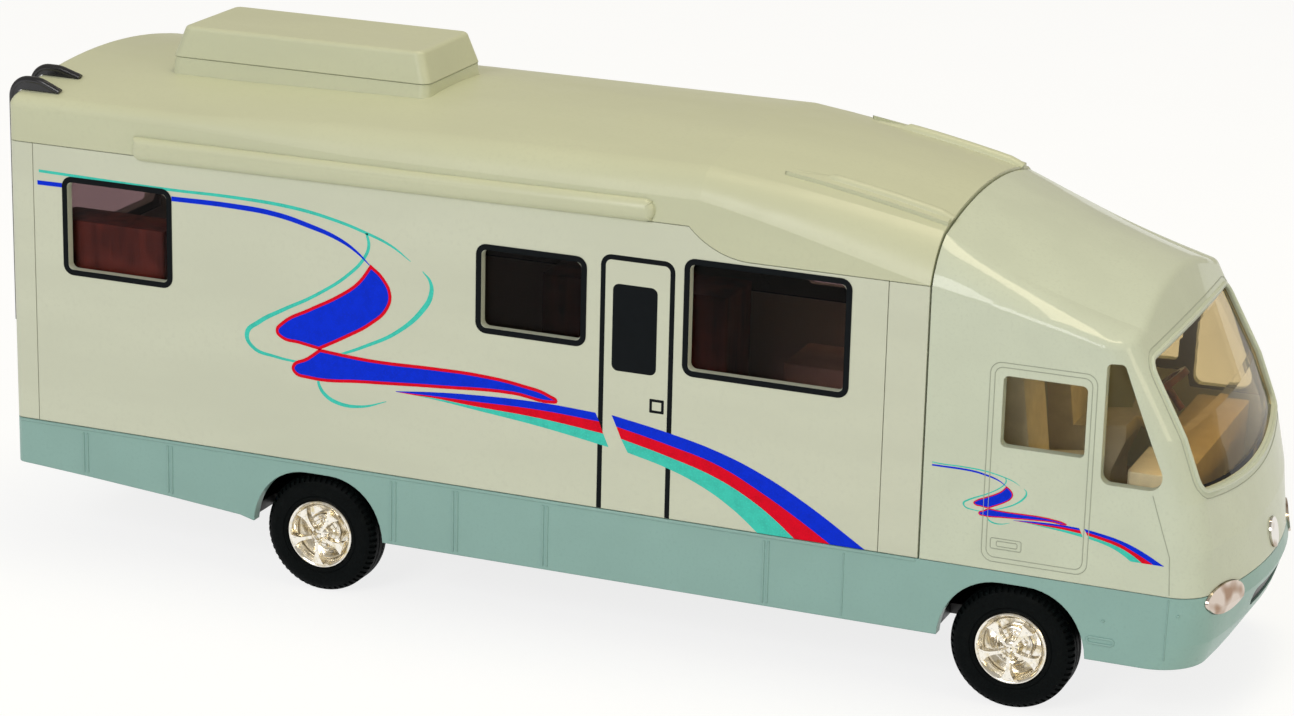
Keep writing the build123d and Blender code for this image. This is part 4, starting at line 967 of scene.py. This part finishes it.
class MOTORHOME_OT_roof_trim(bpy.types.Operator):
    """Lay the rolled awnings along the seam and the rounded beads on the roof's ridges"""
    bl_idname = "motorhome.roof_trim"
    bl_label = "Roof trim"

    def execute(self, context):
        for side_name, side in SIDES.items():
            self.awning(side_name, side)
            self.ridge(side_name, side)
        return {"FINISHED"}

    def awning(self, side_name, side):
        """Ball drawn out into a long case with round ends."""
        roll = AWNING_ROLL
        bpy.ops.object.select_all(action="DESELECT")
        bpy.ops.mesh.primitive_uv_sphere_add(
            segments=40, ring_count=24, radius=roll["radius"], rotation=(0.0, math.pi / 2, 0.0)
        )
        piece = bpy.context.view_layer.objects.active
        bpy.ops.object.transform_apply(location=True, rotation=True, scale=True)
        half = (roll["front"] - roll["rear"]) / 2 - roll["radius"]
        lift = (roll["front_z"] - roll["rear_z"]) / 2
        for vertex in piece.data.vertices:
            forwards = 1.0 if vertex.co.x > MIDDLE else -1.0 if vertex.co.x < -MIDDLE else 0.0
            vertex.co.x += forwards * half
            vertex.co.y *= roll["proud"] / roll["radius"]
            vertex.co.z += forwards * lift
        middle = (roll["front"] + roll["rear"]) / 2
        piece.location = (AXLE_X + middle, side * SIDE_Y, (roll["front_z"] + roll["rear_z"]) / 2)
        smooth(piece, 40.0)
        settle(piece, f"awning_roll_{side_name}", "roof_moulding")

    def ridge(self, side_name, side):
        """Bead that rises out of the roof and sinks back into it."""
        bead = RIDGE_BEAD
        ends = [(bead[end], side * bead["y"]) for end in ("rear", "front")]
        laid = []
        for x, y in divided(ends, BEAD_STEP):
            place = dropped("roof_shell", (AXLE_X + x, y, ABOVE_ROOF_Z), (0.0, 0.0, -1.0))
            if place is None:
                raise RuntimeError("no roof under the ridge")
            from_ends = min(x - bead["rear"], bead["steeper"] * (bead["front"] - x))
            risen = min(1.0, from_ends / bead["rise"])
            place.z -= bead["sunk"] + (1.0 - risen) * (bead["radius"] - bead["sunk"])
            laid.append(place)
        piece = tube(laid, bead["radius"], False, 8)
        smooth(piece, 60.0)
        settle(piece, f"roof_ridge_{side_name}", "roof_moulding")


SCREEN = {
    # windscreen opening: half width and height of its corners, their radius, and its bows
    "top": (22.4, 54.1), "bottom": (22.6, 36.5), "corner": 1.6, "rise": 0.7, "sag": 1.5,
}
SCREEN_BOW_STEPS = 14
SCREEN_CORNER_STEPS = 4
SCREEN_BEADS = {
    # how far outside the opening, radius and finish
    "windscreen_frame": (0.55, 0.36, "cab_enamel"),
    # the groove is a thin dark bead: painted shade where the groove's hollow falls
    "windscreen_painted_groove": (1.55, 0.08, "painted_groove_shade"),
}
SCREEN_STEP = 1.5
AHEAD_X = 60.0             # where a ray back to the nose starts


def bow(half_width, z, height, way):
    """Points along an edge that bows by a height; way is 1 from the right to the left, or -1."""
    points = []
    for step in range(SCREEN_BOW_STEPS + 1):
        share = way * (2.0 * step / SCREEN_BOW_STEPS - 1.0)
        points.append((share * half_width, z + height * (1.0 - share * share)))
    return points


def screen_corner(y, z, radius, start):
    """Points inside a corner's quarter turn about y and z, without its two ends."""
    points = []
    for step in range(1, SCREEN_CORNER_STEPS):
        angle = start - math.pi / 2 * step / SCREEN_CORNER_STEPS
        points.append((y + radius * math.cos(angle), z + radius * math.sin(angle)))
    return points


def screen_outline(grow):
    """Points (y, z) round the windscreen, grown outwards."""
    corner = SCREEN["corner"] + grow
    top_y, top_z = SCREEN["top"][0] + grow, SCREEN["top"][1] + grow
    low_y, low_z = SCREEN["bottom"][0] + grow, SCREEN["bottom"][1] - grow
    top_in, low_in = top_y - corner, low_y - corner
    upper, lower = top_z - corner, low_z + corner
    return [
        *bow(top_in, top_z, SCREEN["rise"], 1.0),
        *screen_corner(top_in, upper, corner, math.pi / 2), (top_y, upper), (low_y, lower),
        *screen_corner(low_in, lower, corner, 0.0),
        *bow(low_in, low_z, -SCREEN["sag"], -1.0),
        *screen_corner(-low_in, lower, corner, -math.pi / 2), (-low_y, lower), (-top_y, upper),
        *screen_corner(-top_in, upper, corner, math.pi),
    ]


class MOTORHOME_OT_windscreen_frame(bpy.types.Operator):
    """Lay the raised frame round the windscreen on the nose, and a thin bead in painted shade along its
    groove
    """
    bl_idname = "motorhome.windscreen_frame"
    bl_label = "Windscreen frame"

    def execute(self, context):
        for name, (grow, radius, finish) in SCREEN_BEADS.items():
            laid = []
            for y, z in divided(screen_outline(grow), SCREEN_STEP, True):
                place = dropped("cab_shell", (AXLE_X + AHEAD_X, y, z), (-1.0, 0.0, 0.0))
                if place is not None:
                    laid.append(place)
            piece = tube(laid, radius, True, 3)
            smooth(piece, 80.0)
            settle(piece, name, finish)
        return {"FINISHED"}


# ---------------------------------------------------------------- wheels
TYRE_PROFILE = [
    # radius, depth behind the outer face
    (5.55, 5.6), (5.55, 0.42), (5.75, 0.2), (6.05, 0.1), (6.2, 0.22), (6.35, 0.1), (7.5, 0.02),
    (8.2, 0.12), (8.62, 0.34), (8.95, 0.6), (9.22, 0.92), (9.4, 1.35), (9.4, 2.1), (9.26, 2.2),
    (9.26, 2.4), (9.4, 2.5), (9.4, 3.5), (9.26, 3.6), (9.26, 3.8), (9.4, 3.9), (9.4, 4.65),
    (9.22, 5.08), (8.95, 5.4), (8.62, 5.66), (8.2, 5.86), (7.5, 5.97), (6.2, 5.9),
]
LUG_BAND = (8.62, 1.35)    # grooves run from this radius on the side to this depth
TYRE_SLACK = 0.01


def spun(profile, steps):
    """Closed ring from a profile of (radius, depth), turned about the Y axis."""
    points = [(radius, depth, 0.0) for radius, depth in profile]
    mesh = bpy.data.meshes.new("profile")
    edges = [(index, (index + 1) % len(points)) for index in range(len(points))]
    mesh.from_pydata(points, edges, [])
    turned = bpy.data.objects.new("profile", mesh)
    bpy.context.scene.collection.objects.link(turned)
    only(turned)
    bpy.ops.object.mode_set(mode="EDIT")
    bpy.ops.mesh.select_all(action="SELECT")
    bpy.ops.mesh.spin(steps=steps, angle=2 * math.pi, center=(0.0, 0.0, 0.0), axis=(0.0, 1.0, 0.0))
    bpy.ops.mesh.select_all(action="SELECT")
    bpy.ops.mesh.remove_doubles(threshold=0.001)
    bpy.ops.mesh.normals_make_consistent(inside=False)
    bpy.ops.object.mode_set(mode="OBJECT")
    return turned


def select_faces(piece, test):
    """Select the faces whose middle passes the test, in edit mode."""
    bpy.ops.object.mode_set(mode="EDIT")
    bpy.ops.mesh.select_mode(type="FACE")
    bpy.ops.mesh.select_all(action="DESELECT")
    bpy.ops.object.mode_set(mode="OBJECT")
    for polygon in piece.data.polygons:
        polygon.select = test(polygon.center)
    bpy.ops.object.mode_set(mode="EDIT")


class MOTORHOME_OT_tyres(bpy.types.Operator):
    """Turn the tyres and press the grooves between their shoulder lugs"""
    bl_idname = "motorhome.tyres"
    bl_label = "Tyres"

    def execute(self, context):
        wheels = context.scene.motorhome_wheels
        steps = 2 * wheels.lugs
        tyre = spun(TYRE_PROFILE, steps)
        outer_radius = max(radius for radius, _ in TYRE_PROFILE)
        width = max(depth for _, depth in TYRE_PROFILE)

        def between_lugs(middle):
            radius = math.hypot(middle.x, middle.z)
            depth = min(middle.y, width - middle.y)
            turn = math.atan2(middle.z, middle.x) / (2 * math.pi) * steps
            return radius > LUG_BAND[0] and depth < LUG_BAND[1] and math.floor(turn) % 2 == 0

        select_faces(tyre, between_lugs)
        bpy.ops.mesh.extrude_region_shrink_fatten(
            TRANSFORM_OT_shrink_fatten={"value": -wheels.groove / MM}
        )
        bpy.ops.object.mode_set(mode="OBJECT")
        smooth(tyre, 28.0)
        reach = max(math.hypot(vertex.co.x, vertex.co.z) for vertex in tyre.data.vertices)
        if reach > outer_radius + TYRE_SLACK:
            raise RuntimeError("the tyre grew past its radius")
        place_wheel_piece(tyre, "tyre", "soft_rubber")
        return {"FINISHED"}


RIM_PROFILE = [
    # radius, depth: lip, broad dish, deep floor, inner ring and hub
    (5.5, 5.5), (5.5, 0.36), (5.36, 0.2), (5.2, 0.16), (5.05, 0.22), (4.86, 0.42), (4.62, 0.8),
    (4.42, 1.16), (4.3, 1.4), (4.22, 2.0), (4.2, 2.9), (3.05, 2.9), (3.0, 1.95), (2.9, 1.74),
    (2.76, 1.68), (2.62, 1.76), (2.55, 1.95), (1.5, 1.75), (1.34, 1.5), (1.26, 1.1), (1.08, 0.78),
    (0.74, 0.56), (0.36, 0.47), (0.12, 0.45), (0.12, 5.5),
]
SPOKE = [
    # distance from the hub's middle, half width
    (1.0, 0.24), (2.0, 0.24), (2.9, 0.3), (3.6, 0.5), (4.1, 0.8), (4.55, 1.1),
]
SPOKE_SLIT = [(3.3, 0.03), (3.8, 0.2), (4.3, 0.42), (4.6, 0.5)]
SPOKE_PLATES = (
    # outline, depth behind the face, thickness
    (SPOKE, 1.75, 1.3), (SPOKE_SLIT, 1.0, 0.3),
)
SPOKE_EDGE = 0.09
LUG_CIRCLE = 2.02
NUT = {"radius": 0.34, "length": 0.9, "depth": 1.75, "edge": 0.08}
LUG_RING = {"radius": 0.1, "depth": 1.82}
RIM_STEPS = 72


def turned_about_hub(piece, turns, start):
    """Copies of a piece spread round the Y axis."""
    copies = []
    for index in range(turns):
        copy = piece.copy()
        copy.data = piece.data.copy()
        bpy.context.scene.collection.objects.link(copy)
        turn = Matrix.Rotation(start + 2 * math.pi * index / turns, 4, "Y")
        copy.matrix_world = turn @ piece.matrix_world
        copies.append(copy)
    bpy.data.objects.remove(piece)
    return copies


def bevelled(piece, width):
    """Round the sharp edges of a piece."""
    only(piece)
    rounding = piece.modifiers.new("rounding", "BEVEL")
    rounding.width = width
    rounding.segments = 2
    rounding.limit_method = "ANGLE"
    rounding.angle_limit = math.radians(40.0)
    bpy.ops.object.modifier_apply(modifier="rounding")
    return piece


class MOTORHOME_OT_rims(bpy.types.Operator):
    """Turn the plated rims with their lips, split spokes, inner rings, nuts and hub caps"""
    bl_idname = "motorhome.rims"
    bl_label = "Rims"

    def execute(self, context):
        spokes = context.scene.motorhome_wheels.spokes
        parts = [spun(RIM_PROFILE, RIM_STEPS)]
        for rows, depth, thickness in SPOKE_PLATES:
            outline = [(r, w, True) for r, w in rows] + [(r, -w, True) for r, w in rows[::-1]]
            spoke = bevelled(flat_shape([outline], thickness), SPOKE_EDGE)
            spoke.location.y = depth
            parts += turned_about_hub(spoke, spokes, math.pi / 2)
        bpy.ops.object.select_all(action="DESELECT")
        bpy.ops.mesh.primitive_cylinder_add(
            vertices=6, radius=NUT["radius"], depth=NUT["length"],
            location=(LUG_CIRCLE, NUT["depth"], 0.0), rotation=(math.pi / 2, 0.0, 0.0),
        )
        nut = bevelled(bpy.context.view_layer.objects.active, NUT["edge"])
        parts += turned_about_hub(nut, spokes, math.pi / 2 + math.pi / spokes)
        bpy.ops.object.select_all(action="DESELECT")
        bpy.ops.mesh.primitive_torus_add(
            major_radius=LUG_CIRCLE, minor_radius=LUG_RING["radius"],
            major_segments=48, minor_segments=8,
            location=(0.0, LUG_RING["depth"], 0.0), rotation=(math.pi / 2, 0.0, 0.0),
        )
        parts.append(bpy.context.view_layer.objects.active)
        rim = merged(parts)
        smooth(rim, 30.0)
        place_wheel_piece(rim, "rim", "rim_plating")
        return {"FINISHED"}


def place_wheel_piece(model, kind, finish):
    """Copy a piece modelled with its face at Y 0 to all four wheels."""
    for axle in ("front", "rear"):
        hub = HUBS[f"{axle}_wheels"]
        for side_name, side in SIDES.items():
            copy = model.copy()
            copy.data = model.data.copy()
            bpy.context.scene.collection.objects.link(copy)
            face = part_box(f"{axle}_tyre_{side_name}")[0 if side < 0 else 1].y / MM
            turn = Matrix.Identity(4) if side < 0 else Matrix.Rotation(math.pi, 4, "Z")
            copy.matrix_world = Matrix.Translation((hub.x, face, hub.z)) @ turn
            piece = settle(copy, f"{axle}_{kind}_detail_{side_name}", finish, f"{axle}_wheels")
            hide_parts(f"{axle}_{kind}_{side_name}")
    bpy.data.objects.remove(model)


# ---------------------------------------------------------------- stage
CAMERA_PLACE = (0.132915 + AXLE_X * MM, -0.506015, 0.203989)
CAMERA_YAW = 21.6847
CAMERA_PITCH = 17.0576
CAMERA_ROLL = -1.4022
SENSOR_WIDTH = 36.0
CLIP = (0.01, 20.0)
FLOOR_SIZE = 6.0
FLOOR_GLOW = {"strength": 1.1, "share": 0.74}     # what the camera sees of the floor's own light
WHITE = (1.0, 1.0, 1.0, 1.0)
AMBIENT = {"colour": (1.0, 0.95, 0.85, 1.0), "strength": 0.42}
LAMPS = {
    # place, aim, size, the setting with its power, its share of that power, colour
    "key": ((-0.15, -0.95, 0.62), (0.0, 0.0, 0.03), 0.42, "key", 1.12, (1.0, 0.995, 0.99)),
    "overhead": ((0.12, 0.12, 0.85), (0.0, 0.0, 0.04), 0.3, "top", 0.79, (1.0, 0.885, 0.61)),
    "front": ((0.95, -0.25, 0.45), (0.05, 0.0, 0.04), 0.3, "top", 0.42, (1.0, 0.88, 0.60)),
}


class MOTORHOME_OT_stage(bpy.types.Operator):
    """Set up the pale floor, the soft lamps, the world and the camera"""
    bl_idname = "motorhome.stage"
    bl_label = "Stage"

    def execute(self, context):
        settings = context.scene.motorhome_stage
        context.scene.view_settings.view_transform = "Standard"
        self.floor(settings)
        for name, (place, aim, size, power, share, colour) in LAMPS.items():
            lamp = bpy.data.lights.new(f"{name}_lamp", "AREA")
            lamp.size = size
            lamp.energy = getattr(settings, power) * share
            lamp.color = colour
            holder = bpy.data.objects.new(f"{name}_lamp", lamp)
            context.scene.collection.objects.link(holder)
            holder.location = place
            ahead = Vector(aim) - Vector(place)
            holder.rotation_euler = ahead.to_track_quat("-Z", "Y").to_euler()
        self.world(context.scene)
        self.camera(context.scene, settings.lens)
        return {"FINISHED"}

    def floor(self, settings):
        """Pale floor that stays bright to the eye and keeps the shadow."""
        bpy.ops.object.select_all(action="DESELECT")
        bpy.ops.mesh.primitive_plane_add(size=FLOOR_SIZE)
        floor = bpy.context.view_layer.objects.active
        floor.name = "floor"
        finish = Finish("floor_paper", tuple(settings.floor), 0.8)
        finish.tone(40.0, shade_of(settings.floor, 0.98)).grain(2.0, 0.01)
        bright = finish.node("ShaderNodeEmission", {"Color": WHITE, "Strength": FLOOR_GLOW["strength"]})
        path = finish.node("ShaderNodeLightPath")
        seen = path.outputs["Is Camera Ray"]
        for ray in ("Is Transmission Ray", "Is Glossy Ray"):
            either = finish.node("ShaderNodeMath", {0: seen, 1: path.outputs[ray]}, operation="MAXIMUM")
            seen = either.outputs[0]
        share = finish.node("ShaderNodeMath", {0: seen, 1: FLOOR_GLOW["share"]}, operation="MULTIPLY")
        mixed = finish.node(
            "ShaderNodeMixShader", {0: share.outputs[0], 1: finish.shader.outputs[0], 2: bright.outputs[0]}
        )
        finish.tree.links.new(mixed.outputs[0], finish.output.inputs["Surface"])
        floor.data.materials.append(finish.material)

    def world(self, scene):
        """Even, slightly warm light; white where it is seen."""
        world = bpy.data.worlds.new("studio")
        world.use_nodes = True
        tree = world.node_tree
        ambient = tree.nodes["Background"]
        ambient.inputs["Color"].default_value = AMBIENT["colour"]
        ambient.inputs["Strength"].default_value = AMBIENT["strength"]
        white = tree.nodes.new("ShaderNodeBackground")
        white.inputs["Color"].default_value = WHITE
        path = tree.nodes.new("ShaderNodeLightPath")
        mixed = tree.nodes.new("ShaderNodeMixShader")
        tree.links.new(path.outputs["Is Camera Ray"], mixed.inputs[0])
        tree.links.new(ambient.outputs[0], mixed.inputs[1])
        tree.links.new(white.outputs[0], mixed.inputs[2])
        tree.links.new(mixed.outputs[0], tree.nodes["World Output"].inputs["Surface"])
        scene.world = world

    def camera(self, scene, lens):
        """Camera turned by yaw, pitch and roll."""
        data = bpy.data.cameras.new("camera")
        data.sensor_width = SENSOR_WIDTH
        data.lens = lens
        data.clip_start, data.clip_end = CLIP
        camera = bpy.data.objects.new("camera", data)
        scene.collection.objects.link(camera)
        turn = Matrix.Rotation(math.radians(CAMERA_YAW), 4, "Z")
        tilt = Matrix.Rotation(math.radians(90.0 - CAMERA_PITCH), 4, "X")
        roll = Matrix.Rotation(math.radians(-CAMERA_ROLL), 4, "Z")
        camera.matrix_world = Matrix.Translation(CAMERA_PLACE) @ turn @ tilt @ roll
        scene.camera = camera


OPERATORS = (
    MOTORHOME_OT_finishes,
    MOTORHOME_OT_coach_graphics,
    MOTORHOME_OT_cab_graphics,
    MOTORHOME_OT_window_frames,
    MOTORHOME_OT_entry_door,
    MOTORHOME_OT_skirt_ribs,
    MOTORHOME_OT_cab_grooves,
    MOTORHOME_OT_roof_trim,
    MOTORHOME_OT_windscreen_frame,
    MOTORHOME_OT_tyres,
    MOTORHOME_OT_rims,
    MOTORHOME_OT_stage,
)
GROUPS = {
    "motorhome_body": BodyColours,
    "motorhome_inks": GraphicInks,
    "motorhome_wheels": WheelDetail,
    "motorhome_stage": StageSettings,
}


class MOTORHOME_PT_panel(bpy.types.Panel):
    """Sidebar panel with the settings and a button for each group of pieces"""
    bl_idname = "MOTORHOME_PT_panel"
    bl_label = "Toy motorhome"
    bl_space_type = "VIEW_3D"
    bl_region_type = "UI"
    bl_category = "Motorhome"

    def draw(self, context):
        for group in GROUPS:
            box = self.layout.box()
            settings = getattr(context.scene, group)
            for key in settings.__annotations__:
                box.prop(settings, key)
        for operator in OPERATORS:
            self.layout.operator(operator.bl_idname)


CLASSES = (*GROUPS.values(), *OPERATORS, MOTORHOME_PT_panel)


def register():
    for cls in CLASSES:
        bpy.utils.register_class(cls)
    for name, group in GROUPS.items():
        setattr(bpy.types.Scene, name, PointerProperty(type=group))


def unregister():
    for name in GROUPS:
        delattr(bpy.types.Scene, name)
    for cls in reversed(CLASSES):
        bpy.utils.unregister_class(cls)


def main():
    register()
    for operator in OPERATORS:
        group, name = operator.bl_idname.split(".")
        getattr(getattr(bpy.ops, group), name)()


if __name__ == "__main__":
    main()
